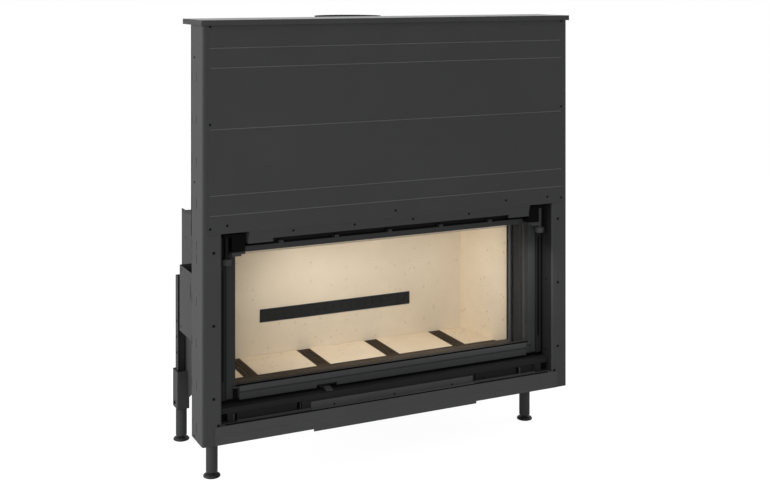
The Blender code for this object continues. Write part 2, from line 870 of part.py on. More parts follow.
def build_jacket(parent):
    """The convection jacket round the firebox and the open-topped air boxes at its sides."""
    front = casing_depth + fit_gap
    back = front + jacket_sheet
    line = [(jacket_half(back) + jacket_flange, back), (jacket_half(back), back),
            (jacket_half_rear, jacket_knee), (jacket_half_rear, jacket_rear)]
    line = line + [(-x, y) for x, y in reversed(line)]
    outline = sheet(line, jacket_sheet)
    shape = extrude(outline, jacket_low, jacket_high, "z")
    jacket = add_piece("convection_jacket", shape, "casing_paint", parent)
    start = front + panel_sheet + fit_gap
    half = jacket_half(start) - jacket_sheet / 2
    rear = jacket_half_rear - jacket_sheet / 2
    inner = jacket_half(start) - jacket_rim
    inner_rear = jacket_half_rear - jacket_rim
    plan = [(inner, start), (half, start), (rear, jacket_knee),
            (rear, jacket_rear - jacket_sheet / 2)]
    inside = [(inner_rear, jacket_rear - jacket_rim / 2), (inner_rear, jacket_knee), (inner, start)]
    plan = [*plan, *[(-x, y) for x, y in reversed(plan)],
            *[(-x, y) for x, y in reversed(inside[:2])], *inside[:2]]
    rim = extrude(plan, jacket_high - 2 * jacket_sheet, jacket_high - jacket_sheet / 2, "z")
    combine(jacket, add_tool("jacket_rim_plate", rim, parent), "UNION")
    for side, end in ((-1, "left"), (1, "right")):
        ends = sorted((side * (jacket_half_rear - jacket_sheet), side * jacket_half_rear))
        tab = box((ends[0], jacket_rear - tab_length, jacket_high - tab_rise),
                  (ends[1], jacket_rear, jacket_high + tab_rise))
        combine(jacket, add_tool("jacket_tab_" + end, tab, parent), "UNION")

    for side, name in ((-1, "side_air_box_left"), (1, "side_air_box_right")):
        start = back + fit_gap
        outer = side_box_offset + side_box_sheet
        seat_gap = fit_gap * math.hypot(1, jacket_splay)
        rear_inner = jacket_half(side_box_rear - side_box_sheet) + seat_gap
        line = [(outer, start), (outer, side_box_rear), (rear_inner, side_box_rear)]
        shape = extrude(mirrored(sheet(line, side_box_sheet), side),
                        jacket_low, side_box_high, "z")
        piece = add_piece(name, shape, "casing_paint", parent)
        plan = [(jacket_half(start) + seat_gap, start), (outer - side_box_sheet / 2, start),
                (outer - side_box_sheet / 2, side_box_rear - side_box_sheet / 2),
                (jacket_half(side_box_rear) + seat_gap + side_box_sheet,
                 side_box_rear - side_box_sheet / 2)]
        floor = extrude(mirrored(plan, side), jacket_low, jacket_low + side_box_sheet, "z")
        combine(piece, add_tool(name + "_floor", floor, parent), "UNION")


def build_base(parent):
    """Base frame with the front leg sleeves, rear leg brackets, tubes and levelling feet."""
    top = base_top
    front = shell_front

    def plan(inset):
        return [(-base_half(front + inset) + inset, front + inset),
                (base_half(front + inset) - inset, front + inset),
                (base_half(base_rear - inset) - inset, base_rear - inset),
                (-base_half(base_rear - inset) + inset, base_rear - inset)]

    piece = add_piece("base_frame", ring_prism(plan(0), plan(base_sheet), base_low, top, "z"),
                      "black_steel", parent)
    flange = ring_prism(plan(base_sheet / 2), plan(base_flange), top - base_sheet, top, "z")
    combine(piece, add_tool("base_flange", flange, parent), "UNION")
    for side, end in ((-1, "left"), (1, "right")):
        x, y = side * leg_offset, front_leg_depth
        outer = rectangle(x - sleeve_half, x + sleeve_half, y - sleeve_half, y + sleeve_half)
        inner = rectangle(x - bore_half, x + bore_half, y - bore_half, y + bore_half)
        sleeve = extrude(outer, base_low - front_sleeve_hang, top - base_sheet / 2, "z")
        combine(piece, add_tool("sleeve_front_" + end, sleeve, parent), "UNION")
        bore = extrude(inner, base_low - front_sleeve_hang - cut_overrun, top - base_sheet, "z")
        combine(piece, add_tool("sleeve_bore_" + end, bore, parent), "DIFFERENCE")
        rear_bracket(side, "rear_leg_bracket_" + end, parent)
        leg("front_" + end, x, front_leg_depth, top - base_sheet - fit_gap, parent)
        rear_top = rear_plate_high - bracket_sheet - fit_gap
        leg("rear_" + end, x, rear_leg_depth, rear_top, parent)


def rear_bracket(side, name, parent):
    """Rear leg sleeve with its top plate, and the perforated channel screwed to the jacket."""
    x, y = side * leg_offset, rear_leg_depth
    bore_front = y - rear_sleeve_front + rear_sleeve_wall
    bore_back = y + rear_sleeve_back - rear_sleeve_wall
    half = bore_half + rear_sleeve_wall
    outer = rectangle(x - half, x + half, y - rear_sleeve_front, y + rear_sleeve_back)
    inner = rectangle(x - bore_half, x + bore_half, bore_front, bore_back)
    piece = add_piece(name, ring_prism(outer, inner, rear_sleeve_low, rear_sleeve_high, "z"),
                      "casing_paint", parent)
    lap = rear_sleeve_wall / 2
    plate = box((x - bore_half - lap, bore_front - lap, rear_plate_high - bracket_sheet),
                (x + bore_half + lap, bore_back + lap, rear_plate_high))
    combine(piece, add_tool(name + "_plate", plate, parent), "UNION")
    out = leg_offset + bracket_out
    back = y + bracket_back
    inside = jacket_half_rear + fit_gap
    line = [(out, back - bracket_strip), (out, back), (inside, back), (inside, plate_front)]
    channel = extrude(mirrored(sheet(line, bracket_sheet), side),
                      rear_plate_high - bracket_sheet / 2, bracket_high, "z")
    combine(piece, add_tool(name + "_channel", channel, parent), "UNION")
    gusset_back = y - rear_sleeve_front + lap
    outline = [(plate_front, gusset_low + gusset_rise), (gusset_back, gusset_low),
               (gusset_back, rear_plate_high), (plate_front, rear_plate_high)]
    ends = sorted((side * inside, side * (inside + bracket_sheet)))
    gusset = extrude(outline, ends[0], ends[1], "x")
    combine(piece, add_tool(name + "_gusset", gusset, parent), "UNION")
    holes = bmesh.new()
    ends = sorted((side * (out + cut_overrun), side * (out - bracket_sheet - cut_overrun)))
    middle = back - bracket_strip / 2
    for height in [rear_sleeve_high + rise for rise in bracket_hole_rises]:
        outline = [(middle + bracket_hole_radius * math.cos(math.tau * i / 12),
                    height + bracket_hole_radius * math.sin(math.tau * i / 12))
                   for i in range(12)]
        extrude(outline, ends[0], ends[1], "x", holes)
    combine(piece, add_tool(name + "_holes", holes, parent), "DIFFERENCE")


def leg(place, x, y, top, parent):
    """A tube with a threaded end plug, and the foot whose stem screws into it."""
    bore = stem_radius + stem_clearance
    profile = [(bore, leg_low), (leg_radius, leg_low), (leg_radius, top), (leg_bore, top),
               (leg_bore, leg_low + leg_plug), (bore, leg_low + leg_plug)]
    add_piece("leg_tube_" + place, turned(profile, (x, y, 0), "z"), "casing_paint", parent,
              round_edges=True)
    profile = [(0, 0), (foot_radius, 0), (foot_radius, foot_edge), (foot_neck, foot_dome),
               (foot_neck, foot_neck_top), (stem_radius, foot_neck_top), (stem_radius, stem_top),
               (0, stem_top)]
    add_piece("foot_" + place, turned(profile, (x, y, 0), "z"), "black_steel", parent,
              place=(x, y, 0), round_edges=True)


def build_air_box(parent):
    """Air box in the recess under the door, its cover plate and the sliding air lever."""
    rear = portal_front - fit_gap
    line = [(air_front, air_top - air_lip), (air_front, air_top), (rear, air_top),
            (rear, air_low), (air_front, air_low)]
    half = column_inner - 2 * fit_gap
    shape = extrude(sheet(line[::-1], air_sheet), -half, half, "x")
    piece = add_piece("air_box", shape, "casing_paint", parent)
    for i, place in enumerate((-upright_outer, -upright_inner, upright_inner, upright_outer)):
        upright = box((place - upright_width / 2, air_front, air_low + air_sheet / 2),
                      (place + upright_width / 2, rear - air_sheet / 2, air_top - air_sheet / 2))
        combine(piece, add_tool("air_upright_%d" % (i + 1), upright, parent), "UNION")

    shape = box((-cover_half, air_front - fit_gap - cover_sheet, air_low),
                (cover_half, air_front - fit_gap, cover_high))
    add_piece("air_box_cover", shape, "casing_paint", parent)

    line = [(air_front, lever_tip_height), (air_front + lever_knee, lever_height),
            (rear - fit_gap, lever_height)]
    shape = extrude(sheet(line, lever_sheet), notch_centre - lever_half,
                    notch_centre + lever_half, "x")
    lever = add_piece("air_lever", shape, "door_paint", parent,
                      place=(notch_centre, rear, lever_height))
    runner = box((notch_centre - lever_half, rear - air_lip, air_top + fit_gap),
                 (notch_centre + lever_half, rear - fit_gap, lever_height + lever_sheet / 2))
    combine(lever, add_tool("lever_runner", runner, parent), "UNION")


def build_guides(parent):
    """Guide channels, pulley brackets, pulleys and counterweights inside the two columns."""
    for side, end in ((-1, "left"), (1, "right")):
        web = column_inner - fit_gap
        back = guide_front + guide_width
        line = [(web - guide_reach, guide_front), (web, guide_front), (web, back),
                (web - guide_reach, back)]
        shape = extrude(mirrored(sheet(line, guide_sheet), side), guide_low, guide_high, "z")
        add_piece("guide_rail_" + end, shape, "black_steel", parent)
        pulley_set(side, end, parent)


def pulley_set(side, end, parent):
    """One grooved pulley on its axle in a fork, and the counterweight hanging from its rope."""
    x = side * (rope_offset + pulley_radius)
    wall = casing_half - casing_sheet - fit_gap
    inner = rope_offset - cheek_reach
    near = rope_depth - pulley_width / 2 - cheek_gap
    far = rope_depth + pulley_width / 2 + cheek_gap
    low, high = pulley_height - cheek_height / 2, pulley_height + cheek_height / 2
    line = [(inner, near - cheek_sheet), (wall, near - cheek_sheet), (wall, far + cheek_sheet),
            (inner, far + cheek_sheet)]
    shape = extrude(mirrored(sheet(line, cheek_sheet), side), low, high, "z")
    fork = add_piece("pulley_bracket_" + end, shape, "black_steel", parent)
    reach = pulley_width / 2 + cheek_gap + cheek_sheet / 2
    axle = turned([(0, -reach), (axle_radius, -reach), (axle_radius, reach), (0, reach)],
                  (x, rope_depth, pulley_height), "y", hinge_sides)
    combine(fork, add_tool("pulley_axle_" + end, axle, parent), "UNION")

    groove = pulley_radius - rope_radius - 2 * fit_gap
    half = pulley_width / 2
    profile = [(pulley_bore, -half), (pulley_rim, -half), (pulley_rim, -rope_radius * 2),
               (groove, -rope_radius), (groove, rope_radius), (pulley_rim, rope_radius * 2),
               (pulley_rim, half), (pulley_bore, half)]
    add_piece("pulley_" + end, turned(profile, (x, rope_depth, pulley_height), "y",
                     pulley_sides),
              "raw_steel", parent, place=(x, rope_depth, pulley_height), round_edges=True)

    middle = side * (rope_offset + 2 * pulley_radius)
    shape = box((middle - weight_width / 2, rope_depth - weight_depth / 2,
                 weight_high - weight_length),
                (middle + weight_width / 2, rope_depth + weight_depth / 2, weight_high))
    add_piece("counterweight_" + end, shape, "raw_steel", parent,
              place=(middle, rope_depth, weight_high))
    rope(side, end, parent)


def rope(side, end, parent):
    """Steel rope from the carriage up over the pulley and down to the counterweight."""
    centre = rope_offset + pulley_radius
    points = [(rope_offset, keeper_high + fit_gap)]
    for i in range(rope_steps + 1):
        angle = math.pi - math.pi * i / rope_steps
        points.append((centre + pulley_radius * math.cos(angle),
                       pulley_height + pulley_radius * math.sin(angle)))
    points.append((rope_offset + 2 * pulley_radius, weight_high + fit_gap))
    curve = bpy.data.curves.new("lift_rope_" + end, "CURVE")
    curve.dimensions = "3D"
    curve.bevel_depth = rope_radius
    curve.bevel_resolution = 1
    curve.use_fill_caps = True
    spline = curve.splines.new("POLY")
    spline.points.add(len(points) - 1)
    for knot, (x, z) in zip(spline.points, points):
        knot.co = (side * x, rope_depth, z, 1)
    curve.materials.append(material_for("lift_rope_" + end, "raw_steel"))
    thing = bpy.data.objects.new("lift_rope_" + end, curve)
    bpy.context.scene.collection.objects.link(thing)
    seat(thing, (0, 0, 0), parent)


def build_carriage(parent):
    """Lift carriage: two posts with guide shoes, a crossbar, hinge pins and latch keepers."""
    shape = box((post_inner, post_front, post_low), (post_outer, post_back, post_high))
    carriage = add_piece("door_carriage", shape, "black_steel", parent,
                         place=(0, rope_depth, hinge_height))
    second = box((-post_outer, post_front, post_low), (-post_inner, post_back, post_high))
    combine(carriage, add_tool("carriage_post", second, parent), "UNION")
    bar_front = post_front + lug_thickness
    bar = box((-post_outer + cut_overrun, bar_front, post_high - crossbar_height),
              (post_outer - cut_overrun, post_back - cut_overrun, post_high))
    combine(carriage, add_tool("carriage_crossbar", bar, parent), "UNION")
    shoes = bmesh.new()
    pins = []
    for side in (-1, 1):
        tip = column_inner - guide_sheet - 2 * fit_gap
        ends = sorted((side * (post_outer - cut_overrun), side * tip))
        front = guide_front + guide_sheet + fit_gap
        back = guide_front + guide_width - guide_sheet - fit_gap
        for low in (post_low + shoe_length, post_high - 2 * shoe_length):
            box((ends[0], front, low), (ends[1], back, low + shoe_length), shoes)
        ends = sorted((side * (post_inner - hinge_pin_bite), side * (post_inner + cut_overrun)))
        outline = [(hinge_depth + hinge_pin_radius * math.cos(math.tau * i / hinge_sides),
                    hinge_height + hinge_pin_radius * math.sin(math.tau * i / hinge_sides))
                   for i in range(hinge_sides)]
        pins.append(extrude(outline, ends[0], ends[1], "x"))
        ends = sorted((side * (post_inner + weld_bite), side * (post_outer - weld_bite)))
        back = post_back - weld_bite
        foot = post_high - crossbar_height / 2
        outline = [(keeper_front, keeper_low), (keeper_front, keeper_high),
                   (back, keeper_high), (back, foot),
                   (back - keeper_thickness, foot), (back - keeper_thickness, keeper_low)]
        pins.append(extrude(outline, ends[0], ends[1], "x"))
    combine(carriage, add_tool("carriage_shoes", shoes, parent), "UNION")
    for i, pin in enumerate(pins):
        combine(carriage, add_tool("carriage_fitting_%d" % (i + 1), pin, parent), "UNION")


def build_leaf(parent, place):
    """The hinged leaf: frame, glass and its retainer, seal, bottom rail, blocks and latch pins."""
    leaf = parent
    aperture_low = leaf_low + low_rail_height
    aperture_high = leaf_high - top_rail_height
    aperture_half = leaf_half - stile_width
    outer = rectangle(-leaf_half, leaf_half, leaf_low, leaf_high)
    inner = rectangle(-aperture_half, aperture_half, aperture_low, aperture_high)
    shape = ring_prism(outer, inner, leaf_front, leaf_back, "y")
    frame = add_piece("door_leaf_frame", shape, "door_paint", leaf, place=place)
    rebate_front = leaf_front + glass_front - fit_gap
    rebate_half = aperture_half + glass_lap + fit_gap
    top_lap = glass_lap / 2
    rebate = box((-rebate_half, rebate_front, aperture_low - glass_lap - fit_gap),
                 (rebate_half, leaf_back + cut_overrun, aperture_high + top_lap + fit_gap))
    combine(frame, add_tool("leaf_rebate", rebate, leaf), "DIFFERENCE")
    groove_half = leaf_half - leaf_wall
    outer = rectangle(-groove_half, groove_half, leaf_low + leaf_wall, leaf_high - leaf_wall)
    wall_half = rebate_half + leaf_wall
    inner = rectangle(-wall_half, wall_half, aperture_low - glass_lap - fit_gap - leaf_wall,
                      aperture_high + top_lap + fit_gap + leaf_wall)
    groove = ring_prism(outer, inner, leaf_front + leaf_wall, leaf_back + cut_overrun, "y")
    combine(frame, add_tool("leaf_groove", groove, leaf), "DIFFERENCE")
    clips = bmesh.new()
    for i in range(clip_count):
        middle = (i - (clip_count - 1) / 2) * clip_spacing
        box((middle - clip_half, leaf_back - clip_length, leaf_high - clip_height),
            (middle + clip_half, leaf_back, leaf_high + clip_height), clips)
    combine(frame, add_tool("leaf_clips", clips, leaf), "UNION")
    bore_radius = hinge_pin_radius + fit_gap
    for side in (-1, 1):
        ends = sorted((side * (post_inner - hinge_pin_bite - fit_gap),
                       side * (leaf_half + cut_overrun)))
        outline = [(hinge_depth + bore_radius * math.cos(math.tau * i / hinge_sides),
                    hinge_height + bore_radius * math.sin(math.tau * i / hinge_sides))
                   for i in range(hinge_sides)]
        bore = extrude(outline, ends[0], ends[1], "x")
        combine(frame, add_tool("leaf_bore_%s" % ("left" if side < 0 else "right"), bore, leaf),
                "DIFFERENCE")

    glass_half = aperture_half + glass_lap
    glass_low = aperture_low - glass_lap
    glass_high = aperture_high + top_lap
    start = leaf_front + glass_front
    shape = box((-glass_half, start, glass_low), (glass_half, start + glass_thickness, glass_high))
    add_piece("door_glass", shape, "glass", leaf, place=place)
    outer = rectangle(-glass_half, glass_half, glass_low, glass_high)
    inner = rectangle(-aperture_half, aperture_half, aperture_low, aperture_high)
    shape = ring_prism(outer, inner, start + glass_thickness + fit_gap, leaf_back - fit_gap, "y")
    add_piece("glass_retainer", shape, "black_steel", leaf, place=place)

    seal_half = aperture_half + seal_inset + seal_width
    seal_low = aperture_low - seal_reach - seal_width
    seal_high = aperture_high + seal_reach + seal_width
    outer = rectangle(-seal_half, seal_half, seal_low, seal_high)
    inner = rectangle(-seal_half + seal_width, seal_half - seal_width,
                      seal_low + seal_width, seal_high - seal_width)
    shape = ring_prism(outer, inner, leaf_back + fit_gap, leaf_back + fit_gap + seal_thickness, "y")
    add_piece("door_seal", shape, "seal_rope", leaf, place=place)

    rear = leaf_front - fit_gap
    line = [(rear, kick_low), (kick_front, kick_low), (kick_front, kick_step),
            (kick_front + kick_bevel, kick_high), (rear, kick_high)]
    shape = extrude(sheet(line[::-1], kick_sheet), -kick_half, kick_half, "x")
    kick = add_piece("door_bottom_rail", shape, "door_paint", leaf, place=place)
    notch = box((notch_centre - notch_half, kick_front - cut_overrun, kick_low - cut_overrun),
                (notch_centre + notch_half, rear + cut_overrun, kick_low + notch_height))
    combine(kick, add_tool("kick_notch", notch, leaf), "DIFFERENCE")
    for side, end in ((-1, "left"), (1, "right")):
        corner_block(side, end, leaf, place)


def corner_block(side, end, leaf, place):
    """Black block on a top corner of the leaf, its lug and the sliding latch pin with a knob."""
    ends = sorted((side * block_inner, side * block_outer))
    shape = box((ends[0], block_front, block_low), (ends[1], leaf_front - fit_gap, block_high))
    block = add_piece("corner_block_" + end, shape, "black_steel", leaf, place=place)
    ends = sorted((side * (block_outer - cut_overrun), side * lug_outer))
    lug = box((ends[0], pin_depth - lug_half_depth, block_high - lug_thickness),
              (ends[1], pin_depth + lug_half_depth, block_high))
    combine(block, add_tool("block_lug_" + end, lug, leaf), "UNION")
    ends = sorted((side * plate_inner, side * block_outer))
    plate = box((ends[0], block_front - plate_thickness, plate_low),
                (ends[1], block_front + plate_thickness, plate_high))
    combine(block, add_tool("block_plate_" + end, plate, leaf), "UNION")
    x = side * pin_offset
    hole = pin_radius + fit_gap
    low = block_high - lug_thickness - cut_overrun
    bore = turned([(0, low), (hole, low), (hole, block_high + cut_overrun),
                   (0, block_high + cut_overrun)], (x, pin_depth, 0), "z", pulley_sides)
    combine(block, add_tool("block_bore_" + end, bore, leaf), "DIFFERENCE")

    top = block_high + pin_rise
    knob_high = knob_low + knob_height
    profile = [(0, knob_low), (knob_radius - knob_bevel, knob_low),
               (knob_radius, knob_low + knob_bevel), (knob_radius, knob_high - knob_bevel),
               (knob_radius - knob_bevel, knob_high), (pin_radius, knob_high),
               (pin_radius, top), (0, top)]
    add_piece("latch_pin_" + end, turned(profile, (x, pin_depth, 0), "z", pulley_sides), "zinc", leaf,
              place=(x, pin_depth, knob_low), round_edges=True)


def build_insert():
    """Builds every piece under the empties that stand on the insert's joints."""
    for thing in list(bpy.data.objects):
        bpy.data.objects.remove(thing, do_unlink=True)
    frame = bpy.data.objects.new("insert_frame", None)
    bpy.context.scene.collection.objects.link(frame)
    frame.location = (0, front_y, 0)
    frame["place"] = (0, 0, 0)
    build_casing(frame)
    build_portal(frame)
    build_firebox(frame)
    build_lining(frame)
    build_jacket(frame)
    build_base(frame)
    build_air_box(frame)
    build_guides(frame)
    lift_place = (0, rope_depth, hinge_height)
    lift = add_empty("lift_axis", lift_place, frame)
    build_carriage(lift)
    tilt_place = (0, hinge_depth, hinge_height)
    tilt = add_empty("tilt_axis", tilt_place, lift)
    build_leaf(tilt, tilt_place)


build_insert()
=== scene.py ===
import math

import bmesh
import bpy
import numpy as np
from mathutils import Matrix, Vector


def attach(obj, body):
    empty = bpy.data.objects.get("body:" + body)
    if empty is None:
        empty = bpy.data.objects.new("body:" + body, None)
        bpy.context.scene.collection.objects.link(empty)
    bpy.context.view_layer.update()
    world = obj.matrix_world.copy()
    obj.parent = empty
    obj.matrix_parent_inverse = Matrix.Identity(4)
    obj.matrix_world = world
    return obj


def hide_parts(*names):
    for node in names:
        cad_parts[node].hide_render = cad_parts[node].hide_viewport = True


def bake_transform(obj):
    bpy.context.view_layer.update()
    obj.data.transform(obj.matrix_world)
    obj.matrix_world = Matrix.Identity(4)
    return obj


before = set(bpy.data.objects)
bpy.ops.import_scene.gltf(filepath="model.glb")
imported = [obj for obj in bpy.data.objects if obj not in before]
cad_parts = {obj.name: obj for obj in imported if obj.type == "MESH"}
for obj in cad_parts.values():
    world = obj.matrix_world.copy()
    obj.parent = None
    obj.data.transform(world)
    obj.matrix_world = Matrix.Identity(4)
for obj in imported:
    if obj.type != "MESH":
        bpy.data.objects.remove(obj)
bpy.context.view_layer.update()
print("stage: frame loaded")

# Depths in this file are counted from the casing's front face, as on the CAD model, and
# frontY turns them into the scene's Y.
frontY = -0.3275
fullTurn = 2 * math.pi
sides = (("left", -1), ("right", 1))
frontFace, backFace = (0, -1, 0), (0, 1, 0)
hairline = 0.0001


def addNode(tree, kind, **settings):
    node = tree.nodes.new("ShaderNode" + kind)
    for key, value in settings.items():
        if isinstance(value, bpy.types.NodeSocket):
            tree.links.new(value, node.inputs[key.replace("_", " ")])
        elif key.replace("_", " ") in node.inputs:
            node.inputs[key.replace("_", " ")].default_value = value
        else:
            setattr(node, key, value)
    return node


def mathNode(tree, operation, first, second=0.0, clamp=False):
    node = tree.nodes.new("ShaderNodeMath")
    node.operation = operation
    node.use_clamp = clamp
    for socket, value in zip(node.inputs, (first, second)):
        if isinstance(value, bpy.types.NodeSocket):
            tree.links.new(value, socket)
        else:
            socket.default_value = value
    return node.outputs[0]


def times(tree, first, second):
    return mathNode(tree, "MULTIPLY", first, second)


def plus(tree, first, second):
    return mathNode(tree, "ADD", first, second)


def less(tree, first, second):
    return mathNode(tree, "SUBTRACT", first, second)


def objectPlace(tree):
    return tree.nodes.new("ShaderNodeTexCoord").outputs["Object"]


def objectAxes(tree):
    return addNode(tree, "SeparateXYZ", Vector=objectPlace(tree)).outputs


# Noise over the object's own coordinates, stretched by a scale along each axis.
def noiseNode(tree, stretch, scale, detail=3.0, rough=0.55):
    mapping = addNode(tree, "Mapping", Vector=objectPlace(tree), Scale=stretch)
    return addNode(tree, "TexNoise", Vector=mapping.outputs["Vector"], Scale=scale, Detail=detail,
                   Roughness=rough).outputs["Fac"]


# A value's run from low to high becomes nought to one.
def spread(tree, value, low, high):
    node = addNode(tree, "MapRange", Value=value)
    node.inputs["From Min"].default_value = low
    node.inputs["From Max"].default_value = high
    return node.outputs["Result"]


# One over the height or depth limit and nought under it, with a short ramp between.
def stepMask(tree, value, limit, ramp=0.0004):
    return spread(tree, value, limit - ramp, limit + ramp)


def mixColor(tree, factor, first, second):
    node = tree.nodes.new("ShaderNodeMix")
    node.data_type = "RGBA"
    sockets = {socket.name: socket for socket in node.inputs if socket.type == "RGBA"}
    for socket, value in ((node.inputs["Factor"], factor), (sockets["A"], first),
                          (sockets["B"], second)):
        if isinstance(value, bpy.types.NodeSocket):
            tree.links.new(value, socket)
        else:
            socket.default_value = (*value, 1) if isinstance(value, tuple) else value
    return [socket for socket in node.outputs if socket.type == "RGBA"][0]


# Two shaders mixed by a factor, straight into an output node.
def mixShaders(tree, factor, first, second, out):
    mix = tree.nodes.new("ShaderNodeMixShader")
    tree.links.new(factor, mix.inputs["Fac"])
    tree.links.new(first, mix.inputs[1])
    tree.links.new(second, mix.inputs[2])
    tree.links.new(mix.outputs["Shader"], out.inputs["Surface"])


# One for the rays that show a thing: from the camera, by a reflection or through a pane.
def shownMask(tree):
    path = tree.nodes.new("ShaderNodeLightPath").outputs
    return mathNode(tree, "MAXIMUM", path["Is Camera Ray"],
                    mathNode(tree, "MAXIMUM", path["Is Glossy Ray"], path["Is Transmission Ray"]))


# Shader groups: shared effects that give masks, heights and normals.
def newGroup(name, inputs, outputs):
    tree = bpy.data.node_groups.new(name, "ShaderNodeTree")
    for label, value in inputs.items():
        socket = tree.interface.new_socket(label, in_out="INPUT", socket_type="NodeSocketFloat")
        socket.default_value = value
    for label, kind in outputs.items():
        tree.interface.new_socket(label, in_out="OUTPUT", socket_type="NodeSocket" + kind)
    given = tree.nodes.new("NodeGroupInput").outputs
    return tree, given, tree.nodes.new("NodeGroupOutput").inputs


def useGroup(tree, group, **values):
    node = tree.nodes.new("ShaderNodeGroup")
    node.node_tree = group
    for key, value in values.items():
        node.inputs[key].default_value = value
    return node.outputs


edgeLook = {"radius": 0.0012, "break": 60.0, "detail": 4.0, "samples": 4,
            "away": (0.02, 0.22), "gaps": (0.38, 0.62)}


# Edges: where the normal of a rounded copy of the surface leaves the true one, broken by noise.
def makeEdgeGroup():
    tree, given, result = newGroup(
        "edgeWear", {"Radius": edgeLook["radius"], "Break": edgeLook["break"]},
        {"Mask": "Float", "Normal": "Vector"})
    bevel = addNode(tree, "Bevel", samples=edgeLook["samples"], Radius=given["Radius"])
    true = tree.nodes.new("ShaderNodeNewGeometry").outputs["Normal"]
    dot = addNode(tree, "VectorMath", operation="DOT_PRODUCT")
    tree.links.new(bevel.outputs["Normal"], dot.inputs[0])
    tree.links.new(true, dot.inputs[1])
    edge = spread(tree, less(tree, 1.0, dot.outputs["Value"]), *edgeLook["away"])
    noise = addNode(tree, "TexNoise", Vector=objectPlace(tree), Scale=given["Break"],
                    Detail=edgeLook["detail"])
    broken = spread(tree, noise.outputs["Fac"], *edgeLook["gaps"])
    tree.links.new(times(tree, edge, broken), result["Mask"])
    tree.links.new(bevel.outputs["Normal"], result["Normal"])
    return tree


sheetLook = {"grain": 900.0, "fineDetail": 2.0, "cloud": 3.0, "cloudDetail": 5.0,
             "cloudRough": 0.6, "cloudRange": (0.3, 0.7)}


# Painted sheet: fine orange-peel height and a slow cloud.
def makeSheetGroup():
    tree, given, result = newGroup(
        "sheetGrain", {"Grain": sheetLook["grain"], "Cloud": sheetLook["cloud"]},
        {"Height": "Float", "Cloud": "Float"})
    place = objectPlace(tree)
    fine = addNode(tree, "TexNoise", Vector=place, Scale=given["Grain"],
                   Detail=sheetLook["fineDetail"])
    slow = addNode(tree, "TexNoise", Vector=place, Scale=given["Cloud"],
                   Detail=sheetLook["cloudDetail"], Roughness=sheetLook["cloudRough"])
    tree.links.new(fine.outputs["Fac"], result["Height"])
    tree.links.new(spread(tree, slow.outputs["Fac"], *sheetLook["cloudRange"]), result["Cloud"])
    return tree


clayLook = {"grain": 190.0, "cloud": 5.0, "detail": 6.0, "fineRough": 0.7, "cloudRough": 0.62,
            "cloudBend": 0.4, "cloudRange": (0.28, 0.72), "pitScale": 0.22,
            "pitRange": (0.26, 0.08), "pitGate": 0.80}


# Fireclay: pressed grain with pits and warm clouds; the gate keeps one cell in five as a pit.
def makeClayGroup():
    tree, given, result = newGroup(
        "clayGrain", {"Grain": clayLook["grain"], "Cloud": clayLook["cloud"]},
        {"Height": "Float", "Cloud": "Float", "Pit": "Float"})
    place = objectPlace(tree)
    fine = addNode(tree, "TexNoise", Vector=place, Scale=given["Grain"],
                   Detail=clayLook["detail"], Roughness=clayLook["fineRough"])
    slow = addNode(tree, "TexNoise", Vector=place, Scale=given["Cloud"],
                   Detail=clayLook["detail"], Roughness=clayLook["cloudRough"],
                   Distortion=clayLook["cloudBend"])
    pits = addNode(tree, "TexVoronoi", Vector=place, Randomness=1.0,
                   Scale=times(tree, given["Grain"], clayLook["pitScale"]))
    size = spread(tree, pits.outputs["Distance"], *clayLook["pitRange"])
    cell = addNode(tree, "SeparateColor", Color=pits.outputs["Color"]).outputs["Red"]
    pit = times(tree, size, mathNode(tree, "GREATER_THAN", cell, clayLook["pitGate"]))
    tree.links.new(less(tree, fine.outputs["Fac"], pit), result["Height"])
    tree.links.new(spread(tree, slow.outputs["Fac"], *clayLook["cloudRange"]), result["Cloud"])
    tree.links.new(pit, result["Pit"])
    return tree


braidLook = {"pitch": 260.0, "twist": 2.0}


# Braid: two crossing sets of diagonal ribs, each the size of a sine of x plus or minus z plus
# a share of y.
def makeBraidGroup():
    tree, given, result = newGroup("braid", {"Pitch": braidLook["pitch"]}, {"Height": "Float"})
    axes = objectAxes(tree)
    turn = times(tree, axes["Y"], braidLook["twist"])
    ribs = []
    for combine in (plus, less):
        run = plus(tree, combine(tree, axes["X"], axes["Z"]), turn)
        wave = mathNode(tree, "SINE", times(tree, run, given["Pitch"]))
        ribs.append(mathNode(tree, "ABSOLUTE", wave))
    tree.links.new(mathNode(tree, "MAXIMUM", *ribs), result["Height"])
    return tree


linesLook = {"fine": 700.0, "stretch": (1.0, 1.0, 0.02), "lineDetail": 3.0, "cloud": 14.0,
             "cloudDetail": 5.0, "cloudRange": (0.3, 0.7)}


# Drawn or rolled metal: fine lines along the z axis, mixed with a cloud.
def makeLinesGroup():
    tree, given, result = newGroup("rolledLines", {"Fine": linesLook["fine"]},
                                   {"Height": "Float", "Cloud": "Float"})
    place = objectPlace(tree)
    mapping = addNode(tree, "Mapping", Vector=place, Scale=linesLook["stretch"])
    lines = addNode(tree, "TexNoise", Vector=mapping.outputs["Vector"], Scale=given["Fine"],
                    Detail=linesLook["lineDetail"])
    slow = addNode(tree, "TexNoise", Vector=place, Scale=linesLook["cloud"],
                   Detail=linesLook["cloudDetail"])
    tree.links.new(lines.outputs["Fac"], result["Height"])
    tree.links.new(spread(tree, slow.outputs["Fac"], *linesLook["cloudRange"]), result["Cloud"])
    return tree


edgeGroup = makeEdgeGroup()
sheetGroup = makeSheetGroup()
clayGroup = makeClayGroup()
braidGroup = makeBraidGroup()
linesGroup = makeLinesGroup()
print("stage: shader groups")


def newMaterial(name):
    material = bpy.data.materials.new(name)
    material.use_nodes = True
    return material, material.node_tree, material.node_tree.nodes["Principled BSDF"]


